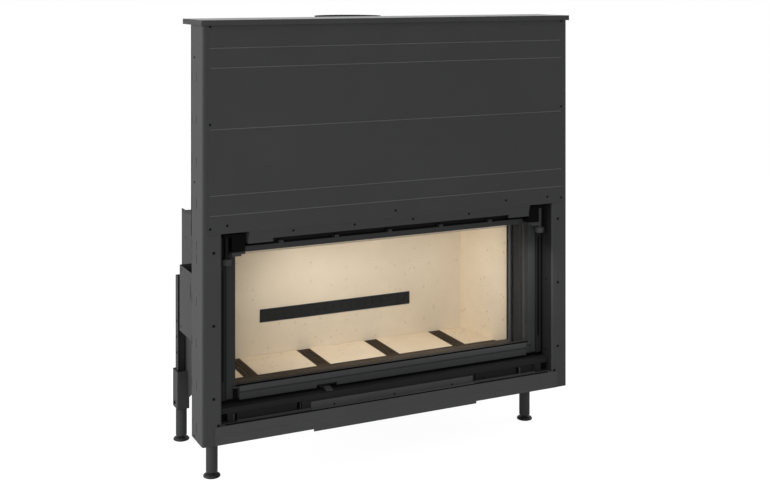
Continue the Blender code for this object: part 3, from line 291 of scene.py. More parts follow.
# Relief: a grain's height over the normal of the rounded edges.
def addBump(tree, shader, height, normal, strength, distance):
    bump = addNode(tree, "Bump", Strength=strength, Distance=distance, Height=height)
    if normal:
        tree.links.new(normal, bump.inputs["Normal"])
    tree.links.new(bump.outputs["Normal"], shader.inputs["Normal"])


# Painted finishes. Colour is the paint, worn the colour along edges, cloud the share by which
# the paint's tone wanders, grain the height of the orange peel, shine its reflection and edge
# the radius to which its edges look rounded. Where the inside entry is given, the paint darkens
# behind the flanges as painted shade; "top" gives upward faces a smoother, shinier coat; "below"
# a second colour under a height, and the entry for the left a darker tone left of a place, as
# painted shade.
paints = {
    "casingPaint": {"color": (0.035, 0.035, 0.0355), "worn": (0.060, 0.060, 0.061), "shine": 0.08,
                    "rough": 0.60, "cloud": 0.06, "grain": 0.020, "edge": 0.0016},
    "railPaint": {"color": (0.044, 0.044, 0.0445), "worn": (0.070, 0.070, 0.071), "shine": 0.10,
                  "rough": 0.58, "cloud": 0.06, "grain": 0.020, "edge": 0.0016},
    # The columns' returns behind the flanges are darkened as painted shade.
    "columnPaint": {"color": (0.035, 0.035, 0.0355), "worn": (0.060, 0.060, 0.061), "shine": 0.10,
                    "rough": 0.58, "cloud": 0.06, "grain": 0.020, "edge": 0.0034,
                    "inside": {"reach": 0.7165, "depth": 0.0045, "share": 0.36}},
    "capPaint": {"color": (0.035, 0.035, 0.0355), "worn": (0.060, 0.060, 0.061), "shine": 0.08,
                 "rough": 0.60, "cloud": 0.06, "grain": 0.010, "edge": 0.0016,
                 "top": {"shine": 0.45, "rough": 0.34}},
    # Paler paint for the panel's creases and the frame's ridge, a painted highlight.
    "creaseHighlightPaint": {"color": (0.064, 0.064, 0.065), "worn": (0.090, 0.090, 0.091), "shine": 0.12,
                    "rough": 0.50, "cloud": 0.10, "grain": 0.010, "edge": 0.0006},
    "blackPaint": {"color": (0.0028, 0.0028, 0.0030), "worn": (0.012, 0.012, 0.0125),
                   "shine": 0.02, "rough": 0.66, "cloud": 0.16, "grain": 0.030, "edge": 0.0012},
    "blockPaint": {"color": (0.0028, 0.0028, 0.0030), "worn": (0.012, 0.012, 0.0125),
                   "shine": 0.02, "rough": 0.62, "cloud": 0.16, "grain": 0.030, "edge": 0.0012,
                   "below": {"height": 0.8740, "color": (0.038, 0.038, 0.038)}},
    # Painted shade: a darker paint for the air box and its plates, the jet strip and the door
    # carriage, which lie in shade.
    "paintedShadePaint": {"color": (0.0135, 0.0135, 0.0138), "worn": (0.030, 0.030, 0.0305),
                   "shine": 0.04, "rough": 0.62, "cloud": 0.10, "grain": 0.020, "edge": 0.0012},
    # The door's paint darkens left of a place, a painted shade on the left stile.
    "doorPaint": {"color": (0.0250, 0.0256, 0.0258), "worn": (0.052, 0.054, 0.055), "shine": 0.10,
                  "rough": 0.50, "cloud": 0.06, "grain": 0.018, "edge": 0.0016,
                  "leftShade": {"beyond": -0.6400, "share": 0.72}},
    "portalPaint": {"color": (0.0215, 0.0200, 0.0188), "worn": (0.040, 0.038, 0.036),
                    "shine": 0.04, "rough": 0.70, "cloud": 0.10, "grain": 0.008, "edge": 0.0016},
    "sillPaint": {"color": (0.074, 0.0580, 0.0430), "worn": (0.096, 0.076, 0.058), "shine": 0.04,
                  "rough": 0.66, "cloud": 0.16, "grain": 0.030, "edge": 0.0010},
    "stovePaint": {"color": (0.030, 0.0295, 0.029), "worn": (0.054, 0.053, 0.052), "shine": 0.05,
                   "rough": 0.70, "cloud": 0.14, "grain": 0.030, "edge": 0.0018},
    "darkScrew": {"color": (0.0022, 0.0022, 0.0024), "worn": (0.010, 0.010, 0.0105),
                  "shine": 0.05, "rough": 0.55, "cloud": 0.10, "grain": 0.020, "edge": 0.0004},
    # The two pins share one steel: the left shaft's darker colour is painted shade, the right
    # shaft's paler colour painted light.
    "latchSteelPaintedLight_left": {"color": (0.0040, 0.0040, 0.0042), "worn": (0.014, 0.014, 0.0145),
                        "shine": 0.06, "rough": 0.46, "cloud": 0.12, "grain": 0.010,
                        "edge": 0.0005,
                        "below": {"height": 0.8500, "color": (0.036, 0.036, 0.0365)}},
    "latchSteelPaintedLight_right": {"color": (0.030, 0.030, 0.0305), "worn": (0.050, 0.050, 0.051),
                         "shine": 0.12, "rough": 0.42, "cloud": 0.12, "grain": 0.010,
                         "edge": 0.0005,
                         "below": {"height": 0.8500, "color": (0.036, 0.036, 0.0365)}},
    # The trim's upper band is paler than its lower band, a painted highlight where it catches light
    # from above.
    "trimPaint": {"color": (0.0380, 0.0384, 0.0386), "worn": (0.060, 0.061, 0.062), "shine": 0.10,
                  "rough": 0.52, "cloud": 0.06, "grain": 0.018, "edge": 0.0012,
                  "below": {"height": 0.3465, "color": (0.0250, 0.0256, 0.0258)}},
    "ledgePaint": {"color": (0.0020, 0.0020, 0.0022), "worn": (0.0040, 0.0040, 0.0042),
                   "shine": 0.0, "rough": 0.70, "cloud": 0.12, "grain": 0.020, "edge": 0.0004},
    "footPaint": {"color": (0.020, 0.020, 0.0205), "worn": (0.045, 0.045, 0.046), "shine": 0.12,
                  "rough": 0.50, "cloud": 0.10, "grain": 0.015, "edge": 0.0008},
}
paintCoat = {"rubbed": 0.75, "roughSpread": 0.10, "rubGloss": 0.12, "upward": (0.7, 0.9),
             "relief": 0.001}


# Paint: tone = colour wandering with the cloud, then the worn tone where an edge is rubbed.
def makePaint(name, values):
    material, tree, shader = newMaterial(name)
    grain = useGroup(tree, sheetGroup)
    edge = useGroup(tree, edgeGroup, Radius=values["edge"])
    axes = objectAxes(tree)
    color = Vector(values["color"])
    tone = mixColor(tree, grain["Cloud"], tuple(color * (1 - values["cloud"])),
                    tuple(color * (1 + values["cloud"])))
    if "below" in values:
        under = less(tree, 1.0, stepMask(tree, axes["Z"], values["below"]["height"]))
        tone = mixColor(tree, under, tone, values["below"]["color"])
    rubbed = times(tree, edge["Mask"], paintCoat["rubbed"])
    tone = mixColor(tree, rubbed, tone, values["worn"])
    # Painted shade: the paint darkens inside the columns, behind their flanges.
    if "inside" in values:
        inside = values["inside"]
        across = mathNode(tree, "ABSOLUTE", axes["X"])
        within = less(tree, 1.0, stepMask(tree, across, inside["reach"]))
        behind = stepMask(tree, axes["Y"], frontY + inside["depth"])
        tone = mixColor(tree, times(tree, within, behind), tone, tuple(color * inside["share"]))
    # Painted shade: the paint darkens left of a place.
    if "leftShade" in values:
        beyond = less(tree, 1.0, stepMask(tree, axes["X"], values["leftShade"]["beyond"]))
        tone = mixColor(tree, beyond, tone, tuple(color * values["leftShade"]["share"]))
    tree.links.new(tone, shader.inputs["Base Color"])
    spreadOfRough = paintCoat["roughSpread"]
    rough = plus(tree, values["rough"] - spreadOfRough / 2,
                 times(tree, grain["Cloud"], spreadOfRough))
    rough = less(tree, rough, times(tree, rubbed, paintCoat["rubGloss"]))
    shader.inputs["Specular IOR Level"].default_value = values["shine"]
    if "top" in values:
        normal = tree.nodes.new("ShaderNodeNewGeometry").outputs["Normal"]
        rise = addNode(tree, "SeparateXYZ", Vector=normal).outputs["Z"]
        upward = spread(tree, rise, *paintCoat["upward"])
        gain = times(tree, upward, values["top"]["shine"] - values["shine"])
        tree.links.new(plus(tree, gain, values["shine"]), shader.inputs["Specular IOR Level"])
        drop = times(tree, upward, values["rough"] - values["top"]["rough"])
        rough = less(tree, rough, drop)
    tree.links.new(rough, shader.inputs["Roughness"])
    addBump(tree, shader, grain["Height"], edge["Normal"], values["grain"], paintCoat["relief"])
    return material


# Each lining's share scales its cream as painted light: paler on the floor and sides, darker on the
# back wall and smoke baffle.
clay = {"pale": (0.80, 0.690, 0.533), "deep": (0.66, 0.552, 0.408), "speck": (0.46, 0.37, 0.26),
        "edge": (0.82, 0.72, 0.56), "edgeRadius": 0.0022, "grainRange": (0.3, 0.7),
        "grainPart": 0.5, "speckPart": 0.55, "edgePart": 0.5, "rough": 0.90, "shine": 0.2,
        "bump": 0.22, "relief": 0.0015, "lowerEdgeShadeHeight": 0.8262, "lowerEdgeShade": (0.47, 0.39, 0.29),
        "paintedLightShares": {"fireclayBack": 0.87, "fireclaySide": 1.14, "fireclayFloor": 1.17,
                   "fireclayLintel": 1.0}}


# Fireclay: pale and deep cream mixed by grain and clouds, dark pits, and paler rubbed arrises.
def makeClay(name, share, shadedLowerEdge=False):
    material, tree, shader = newMaterial(name)
    grain = useGroup(tree, clayGroup)
    edge = useGroup(tree, edgeGroup, Radius=clay["edgeRadius"])
    speckle = times(tree, spread(tree, grain["Height"], *clay["grainRange"]), clay["grainPart"])
    cloud = plus(tree, speckle, times(tree, grain["Cloud"], 1 - clay["grainPart"]))
    # The share lightens or darkens the cream as painted light.
    tone = mixColor(tree, cloud, tuple(Vector(clay["deep"]) * share),
                    tuple(Vector(clay["pale"]) * share))
    tone = mixColor(tree, times(tree, grain["Pit"], clay["speckPart"]), tone, clay["speck"])
    tone = mixColor(tree, times(tree, edge["Mask"], clay["edgePart"]), tone, clay["edge"])
    # Painted shade: the lintel's clay darkens below a height, along its lower edge.
    if shadedLowerEdge:
        over = stepMask(tree, objectAxes(tree)["Z"], clay["lowerEdgeShadeHeight"])
        tone = mixColor(tree, over, clay["lowerEdgeShade"], tone)
    tree.links.new(tone, shader.inputs["Base Color"])
    shader.inputs["Roughness"].default_value = clay["rough"]
    shader.inputs["Specular IOR Level"].default_value = clay["shine"]
    addBump(tree, shader, grain["Height"], edge["Normal"], clay["bump"], clay["relief"])
    return material


castIron = {"color": (0.0430, 0.0295, 0.0165), "rust": (0.0620, 0.0420, 0.0235),
            "edge": (0.05, 0.041, 0.030), "edgePart": 0.4, "edgeRadius": 0.0015, "grain": 500.0,
            "cloud": 16.0, "rough": 0.82, "shine": 0.08, "ribPitch": 900.0, "ribPart": 0.35,
            "bump": 0.15, "relief": 0.0012, "sillDepth": 0.3450, "sill": (0.0300, 0.0290, 0.0275)}


# Cast bars: brown scale over iron, with narrow ribs across each bar, a sine of the depth. In
# front of the sill's depth the iron is grey.
def makeCast():
    material, tree, shader = newMaterial("castBrown")
    grain = useGroup(tree, sheetGroup, Grain=castIron["grain"], Cloud=castIron["cloud"])
    edge = useGroup(tree, edgeGroup, Radius=castIron["edgeRadius"])
    tone = mixColor(tree, grain["Cloud"], castIron["color"], castIron["rust"])
    depth = objectAxes(tree)["Y"]
    behind = stepMask(tree, depth, frontY + castIron["sillDepth"])
    tone = mixColor(tree, behind, castIron["sill"], tone)
    tone = mixColor(tree, times(tree, edge["Mask"], castIron["edgePart"]), tone,
                    castIron["edge"])
    tree.links.new(tone, shader.inputs["Base Color"])
    shader.inputs["Roughness"].default_value = castIron["rough"]
    shader.inputs["Specular IOR Level"].default_value = castIron["shine"]
    rib = mathNode(tree, "SINE", times(tree, depth, castIron["ribPitch"]))
    height = plus(tree, grain["Height"], times(tree, rib, castIron["ribPart"]))
    addBump(tree, shader, height, edge["Normal"], castIron["bump"], castIron["relief"])
    return material


metals = {
    "zincSteel": {"color": (0.36, 0.37, 0.38), "dark": (0.22, 0.225, 0.23), "rough": 0.38},
    "weldSteel": {"color": (0.075, 0.073, 0.072), "dark": (0.030, 0.028, 0.027), "rough": 0.40},
}
metalFinish = {"edgeRadius": 0.0006, "edgeGain": 1.5, "edgePart": 0.6, "metallic": 0.85,
               "roughSpread": 0.15, "bump": 0.10, "relief": 0.0006}


# Bare metal: two tones mixed by rolled lines and clouds, brighter along its edges.
def makeMetal(name, values):
    material, tree, shader = newMaterial(name)
    lines = useGroup(tree, linesGroup)
    edge = useGroup(tree, edgeGroup, Radius=metalFinish["edgeRadius"])
    tone = mixColor(tree, lines["Cloud"], values["dark"], values["color"])
    bright = tuple(min(1.0, part * metalFinish["edgeGain"]) for part in values["color"])
    tone = mixColor(tree, times(tree, edge["Mask"], metalFinish["edgePart"]), tone, bright)
    tree.links.new(tone, shader.inputs["Base Color"])
    shader.inputs["Metallic"].default_value = metalFinish["metallic"]
    rough = plus(tree, values["rough"], times(tree, lines["Cloud"], metalFinish["roughSpread"]))
    tree.links.new(rough, shader.inputs["Roughness"])
    addBump(tree, shader, lines["Height"], edge["Normal"], metalFinish["bump"],
            metalFinish["relief"])
    return material


seal = {"deep": (0.016, 0.0155, 0.015), "strand": (0.052, 0.051, 0.049), "rough": 0.95,
        "bump": 0.8, "relief": 0.0015}


# Seal rope: dark glass-fibre braid with paler strand tops.
def makeSeal():
    material, tree, shader = newMaterial("sealRope")
    height = useGroup(tree, braidGroup)["Height"]
    tree.links.new(mixColor(tree, height, seal["deep"], seal["strand"]),
                   shader.inputs["Base Color"])
    shader.inputs["Roughness"].default_value = seal["rough"]
    addBump(tree, shader, height, None, seal["bump"], seal["relief"])
    return material


pane = {"tint": (0.985, 0.985, 0.98), "mirror": (0.9, 0.92, 0.92), "shine": 0.10, "haze": 0.001,
        "film": {"stretch": (1.0, 1.0, 0.4), "scale": 7.0, "detail": 4.0}, "rough": 0.03,
        "filmRough": 0.06, "index": 1.45}


# Pane: clear for light on its way in, with a reflection that grows towards grazing angles and a
# thin uneven haze.
def makePane():
    material, tree, shader = newMaterial("paneGlass")
    shader.inputs["Base Color"].default_value = (*pane["mirror"], 1)
    film = noiseNode(tree, **pane["film"])
    rough = plus(tree, pane["rough"], times(tree, film, pane["filmRough"]))
    tree.links.new(rough, shader.inputs["Roughness"])
    shader.inputs["Metallic"].default_value = 1.0
    clear = addNode(tree, "BsdfTransparent", Color=(*pane["tint"], 1))
    graze = addNode(tree, "Fresnel", IOR=pane["index"]).outputs["Fac"]
    glow = plus(tree, times(tree, graze, pane["shine"]), times(tree, film, pane["haze"]))
    path = tree.nodes.new("ShaderNodeLightPath").outputs
    lit = less(tree, 1.0, path["Is Shadow Ray"])
    factor = mathNode(tree, "MULTIPLY", glow, lit, clamp=True)
    mixShaders(tree, factor, clear.outputs["BSDF"], shader.outputs["BSDF"],
               tree.nodes["Material Output"])
    return material


finish = {name: makePaint(name, values) for name, values in paints.items()}
finish.update({name: makeMetal(name, values) for name, values in metals.items()})
for name, share in clay["paintedLightShares"].items():
    finish[name] = makeClay(name, share, shadedLowerEdge=name == "fireclayLintel")
finish["castBrown"] = makeCast()
finish["sealRope"] = makeSeal()
finish["paneGlass"] = makePane()
print("stage: materials", len(finish))

# Which finish each part of the CAD model takes.
nodeFinish = {
    "casingPaint": ("upper_front_panel", "head_plate", "glass_retainer", "convection_jacket",
                    "side_air_box_left", "side_air_box_right", "rear_leg_bracket_left",
                    "rear_leg_bracket_right", "leg_tube_front_left", "leg_tube_front_right",
                    "leg_tube_rear_left", "leg_tube_rear_right", "air_lever"),
    "railPaint": ("lower_front_rail", "air_box_cover"),
    "columnPaint": ("side_casing_left", "side_casing_right"),
    "capPaint": ("top_cap",),
    "paintedShadePaint": ("air_box", "air_jet_strip", "door_carriage"),
    "stovePaint": ("firebox_shell", "smoke_dome", "flue_collar", "casing_rear_plate",
                   "base_frame"),
    "portalPaint": ("front_frame",),
    "blackPaint": ("guide_rail_left", "guide_rail_right", "counterweight_left",
                   "counterweight_right"),
    "blockPaint": ("corner_block_left", "corner_block_right"),
    "doorPaint": ("door_leaf_frame", "door_bottom_rail"),
    "fireclayLintel": ("lining_lintel",),
    "fireclaySide": ("lining_left", "lining_right"),
    "fireclayBack": ("lining_back", "smoke_baffle"),
    "fireclayFloor": ("floor_tile_1", "floor_tile_2", "floor_tile_3", "floor_tile_4",
                      "floor_tile_5"),
    "castBrown": ("floor_air_grate",),
    "paneGlass": ("door_glass",),
    "sealRope": ("door_seal",),
    "footPaint": ("foot_front_left", "foot_front_right", "foot_rear_left", "foot_rear_right"),
    "latchSteelPaintedLight_left": ("latch_pin_left",),
    "latchSteelPaintedLight_right": ("latch_pin_right",),
    "zincSteel": ("pulley_left", "pulley_right", "pulley_bracket_left", "pulley_bracket_right",
                  "lift_rope_left", "lift_rope_right"),
}


def dressNodes():
    for name, nodes in nodeFinish.items():
        for node in nodes:
            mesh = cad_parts[node].data
            mesh.materials.clear()
            mesh.materials.append(finish[name])
    bare = set(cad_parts) - {node for nodes in nodeFinish.values() for node in nodes}
    print("stage: dressed nodes, left bare:", sorted(bare))


dressNodes()


# Vectors drawn in or out to a length of one.
def unit(vectors):
    return vectors / np.linalg.norm(vectors, axis=-1, keepdims=True)


# Points round the z axis: the radius times the turn's cosine and sine, at the height.
def turned(radius, height, turn):
    return np.stack([radius * np.cos(turn), radius * np.sin(turn), height + 0 * turn], -1)


# The length of a path from its start to each of its points.
def lengthAlong(path):
    return np.concatenate([[0], np.cumsum(np.linalg.norm(np.diff(path, axis=0), axis=1))])


# A smooth rise from nought to one: three times the square less twice the cube.
def smoothRise(value):
    value = np.clip(value, 0, 1)
    return value * value * (3 - 2 * value)


# A wave from one down to nought and back in every turn.
def triangleWave(turns):
    return 2 * np.abs(turns % 1 - 0.5)


# Shapes are (points, quads, triangles). A grid of points becomes a skin: each row closes on
# itself and joins the next one, and the end rows close to their middle or join each other.
def gridShape(grid, loop=False):
    rows, columns = grid.shape[:2]
    index = np.arange(rows * columns).reshape(rows, columns)
    if loop:
        index = np.vstack([index, index[:1]])
    low, high = index[:-1], index[1:]
    quads = np.stack([low, np.roll(low, -1, 1), np.roll(high, -1, 1), high], -1).reshape(-1, 4)
    points = grid.reshape(-1, 3)
    if loop:
        return points, quads, np.empty((0, 3), int)
    count = len(points)
    points = np.vstack([points, grid[0].mean(0), grid[-1].mean(0)])
    start, end = index[0], index[-1]
    triangles = np.vstack([
        np.stack([np.roll(start, -1), start, np.full(columns, count)], -1),
        np.stack([end, np.roll(end, -1), np.full(columns, count + 1)], -1)])
    return points, quads, triangles


# Shapes put into one, the point numbers of each moved past the points before it.
def joinShapes(shapes):
    points, quads, triangles, start = [], [], [], 0
    for shape in shapes:
        points.append(shape[0])
        quads.append(shape[1] + start)
        triangles.append(shape[2] + start)
        start += len(shape[0])
    return np.vstack(points), np.vstack(quads), np.vstack(triangles)


# One object from shapes in casing coordinates; every shell is turned outward, and edges that
# turn by more than the sharp angle in degrees stay sharp.
def addPiece(name, shapes, material, body, sharp=40):
    points, quads, triangles = joinShapes(shapes)
    points = points + (0, frontY, 0)
    corners = np.concatenate([quads.ravel(), triangles.ravel()])
    sizes = np.concatenate([np.full(len(quads), 4), np.full(len(triangles), 3)])
    mesh = bpy.data.meshes.new(name)
    mesh.vertices.add(len(points))
    mesh.vertices.foreach_set("co", points.ravel())
    mesh.loops.add(len(corners))
    mesh.loops.foreach_set("vertex_index", corners)
    mesh.polygons.add(len(sizes))
    mesh.polygons.foreach_set("loop_start", np.concatenate([[0], np.cumsum(sizes)[:-1]]))
    mesh.update(calc_edges=True)
    skin = bmesh.new()
    skin.from_mesh(mesh)
    bmesh.ops.recalc_face_normals(skin, faces=skin.faces)
    skin.to_mesh(mesh)
    skin.free()
    mesh.shade_smooth()
    mesh.set_sharp_from_angle(angle=math.radians(sharp))
    mesh.materials.append(finish[material])
    piece = bpy.data.objects.new(name, mesh)
    bpy.context.scene.collection.objects.link(piece)
    if body:
        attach(piece, body)
    return piece


frameForm = {"upright": 0.9, "seed": 5}


# Frames to stamp a shape on: each stands on a spot, looks along out, and has its own twist,
# a random one where none is given.
def facing(spots, out, twist=None):
    spots = np.atleast_2d(np.asarray(spots, float))
    out = unit(np.asarray(out, float))
    nearUpright = abs(out[2]) > frameForm["upright"]
    side = np.array((1.0, 0, 0)) if nearUpright else unit(np.cross((0, 0, 1), out))
    rise = np.cross(out, side)
    if twist is None:
        random = np.random.default_rng(len(spots) + frameForm["seed"])
        twist = random.uniform(0, fullTurn, len(spots))
    turn = np.broadcast_to(twist, len(spots))[:, None]
    across = np.cos(turn) * side + np.sin(turn) * rise
    along = np.cos(turn) * rise - np.sin(turn) * side
    return spots, np.stack([across, along, np.broadcast_to(out, across.shape)], 1)


# Copies of a shape: a copy's point is the spot plus its coordinates along the frame's axes.
def stamp(shape, frames):
    points, quads, triangles = shape
    spots, axes = frames
    moved = spots[:, None] + np.einsum("pk,nkj->npj", points, axes)
    shift = (np.arange(len(spots)) * len(points))[:, None, None]
    return (moved.reshape(-1, 3), (quads + shift).reshape(-1, 4),
            (triangles + shift).reshape(-1, 3))


# Turned shape: each (radius, height) of the profile goes round the z axis.
def lathe(profile, steps):
    profile = np.asarray(profile, float)
    turn = np.linspace(0, fullTurn, steps, endpoint=False)
    return gridShape(turned(profile[:, :1], profile[:, 1:], turn))


# Shares of a screw head: rim, hub and slope of its radius, foot and sink of its height, dome of
# the circle that rounds it, and wander of its recess.
screwForm = {"rim": 0.975, "hub": 0.05, "rows": 13, "dome": 0.92, "foot": -0.5, "wander": 0.17,
             "sink": 0.6, "slope": 0.14}


# Screw head: the height is a dome over the radius share, less a recess whose edge wanders with
# the cosine of the lobe count times the angle.
def screwHead(radius, height, lobes=6, recess=0.46, steps=30):
    form = screwForm
    share = np.concatenate([[1, 1], np.linspace(form["rim"], form["hub"], form["rows"])])[:, None]
    turn = np.linspace(0, fullTurn, steps, endpoint=False)[None]
    edge = recess * (1 + form["wander"] * np.cos(lobes * turn))
    rise = height * np.sqrt(1 - (form["dome"] * share) ** 2)
    rise = rise - form["sink"] * height * smoothRise((edge - share) / form["slope"])
    rise[0] = form["foot"] * height
    return gridShape(turned(share * radius, rise, turn))


# Rows of a bolt head from its foot up: heights as shares of the head's, and the flats' distances
# to which its corners are cut, where 9 leaves them whole. The first rows are its washer.
hexForm = {"levels": (-0.3, 0.0, 0.22, 0.22, 0.30, 0.80, 0.93, 1.0, 1.0), "washerRows": 3,
           "cuts": (9, 9, 9, 9, 9, 1.16, 1.10, 1.0, 0.5)}


# Hexagon head on a washer: across the corners the radius is the flat's distance over the cosine
# of the angle from the flat's middle, cut down by a chamfer near the top.
def hexHead(flat, height, washer=1.5, steps=36):
    turn = np.linspace(0, fullTurn, steps, endpoint=False)[None]
    sixth = fullTurn / 6
    corner = flat / np.cos((turn + sixth / 2) % sixth - sixth / 2)
    ring = np.minimum(corner, flat * np.array(hexForm["cuts"])[:, None])
    ring[:hexForm["washerRows"]] = flat * washer
    return gridShape(turned(ring, np.array(hexForm["levels"])[:, None] * height, turn))


# Tube along a path: each ring stands square to the path, with ref as the side it starts from.
def tube(path, radius, ref, steps, loop=False):
    path = np.asarray(path, float)
    if loop:
        ahead = unit(np.roll(path, -1, 0) - np.roll(path, 1, 0))
    else:
        ahead = unit(np.gradient(path, axis=0))
    side = unit(np.cross(ahead, ref))
    rise = np.cross(side, ahead)
    turn = np.linspace(0, fullTurn, steps, endpoint=False)[None, :, None]
    spokes = np.cos(turn) * side[:, None] + np.sin(turn) * rise[:, None]
    width = np.broadcast_to(np.asarray(radius, float), len(path))[:, None, None]
    return gridShape(path[:, None] + width * spokes, loop)


beadForm = {"ripple": 0.0045, "pointsPerRipple": 4, "fewestPoints": 8, "swell": 0.16,
            "wander": 0.05, "wanderRate": 91.0, "steps": 7}


# Weld bead: a tube whose radius swells with every ripple along its length, and wanders with a
# slower sine.
def bead(path, radius, ref=(0, 0, 1), loop=False):
    form = beadForm
    path = np.asarray(path, float)
    if loop:
        path = np.vstack([path, path[:1]])
    run = lengthAlong(path)
    count = int(run[-1] / (form["ripple"] / form["pointsPerRipple"]))
    along = np.linspace(0, run[-1], max(form["fewestPoints"], count), endpoint=not loop)
    fine = np.stack([np.interp(along, run, path[:, axis]) for axis in range(3)], -1)
    swell = radius * (1 + form["swell"] * np.sin(along * fullTurn / form["ripple"])
                      + form["wander"] * np.sin(along * form["wanderRate"]))
    return tube(fine, swell, ref, form["steps"], loop)


# Corners of a line rounded: each becomes an arc of the radius that touches both runs.
def roundLine(points, radius, steps=5):
    points = [np.asarray(point, float) for point in points]
    line = [points[0]]
    for before, corner, after in zip(points, points[1:], points[2:]):
        back, ahead = unit(before - corner), unit(after - corner)
        half = math.acos(np.clip(back @ ahead, -1, 1)) / 2
        centre = corner + unit(back + ahead) * radius / math.sin(half)
        first = corner + back * radius / math.tan(half) - centre
        last = corner + ahead * radius / math.tan(half) - centre
        sweep = math.pi - 2 * half
        for i in range(steps + 1):
            share = i / steps
            point = first * math.sin((1 - share) * sweep) + last * math.sin(share * sweep)
            line.append(centre + point / math.sin(sweep))
    line.append(points[-1])
    return np.array(line)


# Folded sheet: the line's points in two coordinates, the sheet's thickness to the line's left,
# and its width from low to high along the third coordinate.
def fold(line, thickness, low, high, axis):
    line = np.asarray(line, float)
    run = unit(np.diff(line, axis=0))
    normal = np.stack([-run[:, 1], run[:, 0]], -1)
    first = np.vstack([normal[:1], normal])
    second = np.vstack([normal, normal[-1:]])
    push = (first + second) / (1 + np.sum(first * second, 1, keepdims=True))
    inner = line + push * thickness
    rows = []
    for side, level in ((line, low), (line, high), (inner, high), (inner, low)):
        rows.append(np.insert(side, axis, level, axis=1))
    return gridShape(np.stack(rows, 1))


# Outline of a rectangle with rounded corners, centred on the origin.
def roundRectangle(width, height, radius, steps=4):
    outline = []
    for x, y, start in ((1, 1, 0), (-1, 1, 1), (-1, -1, 2), (1, -1, 3)):
        turn = (start + np.linspace(0, 1, steps + 1)) * math.pi / 2
        outline.append(np.stack([x * (width / 2 - radius) + radius * np.cos(turn),
                                 y * (height / 2 - radius) + radius * np.sin(turn)], -1))
    return np.vstack(outline)


# Plate lying on z = 0: the outline rises straight, then draws in by the bevel at the top.
def plate(outline, thickness, bevel):
    inner = outline - unit(outline - outline.mean(0)) * bevel
    rows = [(outline, 0), (outline, thickness - bevel), (inner, thickness)]
    return gridShape(np.stack([np.insert(line, 2, level, axis=1) for line, level in rows]))


# Rim round an opening: a round bead that follows the outline.
def rim(outline, radius, steps=6):
    return tube(np.insert(outline, 2, 0, axis=1), radius, (0, 0, 1), steps, loop=True)


# Thin plates with rounded corners that stand on their spots and look along out.
def plateAt(spots, size, corner, thickness, out, bevel=0.0004):
    return stamp(plate(roundRectangle(*size, corner), thickness, bevel), facing(spots, out, 0))


# A plate facing the front that fills a span across, counted outward on one side, and a rise.
def frontPlate(side, across, rise, depth, corner, thickness, bevel=0.0004):
    spot = (side * sum(across) / 2, depth, sum(rise) / 2)
    size = (across[1] - across[0], rise[1] - rise[0])
    return plateAt([spot], size, corner, thickness, frontFace, bevel)


# Flat strips along x: a level one goes back from near to far, an upright one hangs from high.
def levelStrip(near, far, height, thickness, ends):
    return fold([(near, height), (far, height)], thickness, *ends, 0)


def uprightStrip(depth, high, low, thickness, ends):
    return fold([(depth, high), (depth, low)], thickness, *ends, 0)


# The low and high end of a span that is counted outward on one side.
def sideSpan(side, inner, outer):
    return sorted((side * inner, side * outer))


# Screws of the casing, by the sheet they hold: the lists give the coordinates that vary,
# and a face is the sheet's surface.
casingScrews = {
    "radius": 0.0046, "height": 0.0019, "flangeRadius": 0.0056,
    "panel": [(-0.760, 1.709), (-0.760, 1.353), (-0.760, 0.973), (0.760, 1.709), (0.760, 1.353),
              (0.760, 0.973), (-0.695, 0.981), (-0.010, 0.981), (0.492, 0.981), (0.692, 0.981)],
    "panelFace": -0.002,
    "head": (-0.434, -0.182, 0.070, 0.322), "headHeight": 0.9400, "headFace": 0.0035,
    "headSlope": (0, -0.959, -0.282),
    "flange": [(0.7455, 0.885), (0.7455, 0.6195), (0.7455, 0.354), (0.7275, 0.2545)],
    "inner": (0.916, 0.627, 0.333), "innerDepth": 0.0427, "innerFace": 0.715,
    "side": (1.594, 1.132, 0.195), "sideDepth": 0.100, "sideFace": 0.7885,
}


def makeCasingScrews():
    data = casingScrews
    head = screwHead(data["radius"], data["height"])
    large = screwHead(data["flangeRadius"], data["height"])
    spots = [(x, data["panelFace"], z) for x, z in data["panel"]]
    addPiece("panelScrews", [stamp(head, facing(spots, frontFace))], "darkScrew", "insert")
    spots = [(x, data["headFace"], data["headHeight"]) for x in data["head"]]
    addPiece("headPlateScrews", [stamp(head, facing(spots, data["headSlope"]))], "darkScrew",
             "insert")
    for name, side in sides:
        spots = [(side * x, 0, z) for x, z in data["flange"]]
        shapes = [stamp(large, facing(spots, frontFace))]
        spots = [(side * data["innerFace"], data["innerDepth"], z) for z in data["inner"]]
        shapes.append(stamp(head, facing(spots, (-side, 0, 0))))
        spots = [(side * data["sideFace"], data["sideDepth"], z) for z in data["side"]]
        shapes.append(stamp(head, facing(spots, (side, 0, 0))))
        addPiece("columnScrews_" + name, shapes, "darkScrew", "insert")


creases = {"heights": (1.0197, 1.0928, 1.3339, 1.5578, 1.6302), "half": 0.7635, "face": -0.0019,
           "width": 0.0021, "rise": 0.0007, "run": 0.010, "endRise": 0.1, "endWidth": 0.3,
           "back": 0.0003, "points": 161, "arc": 9}


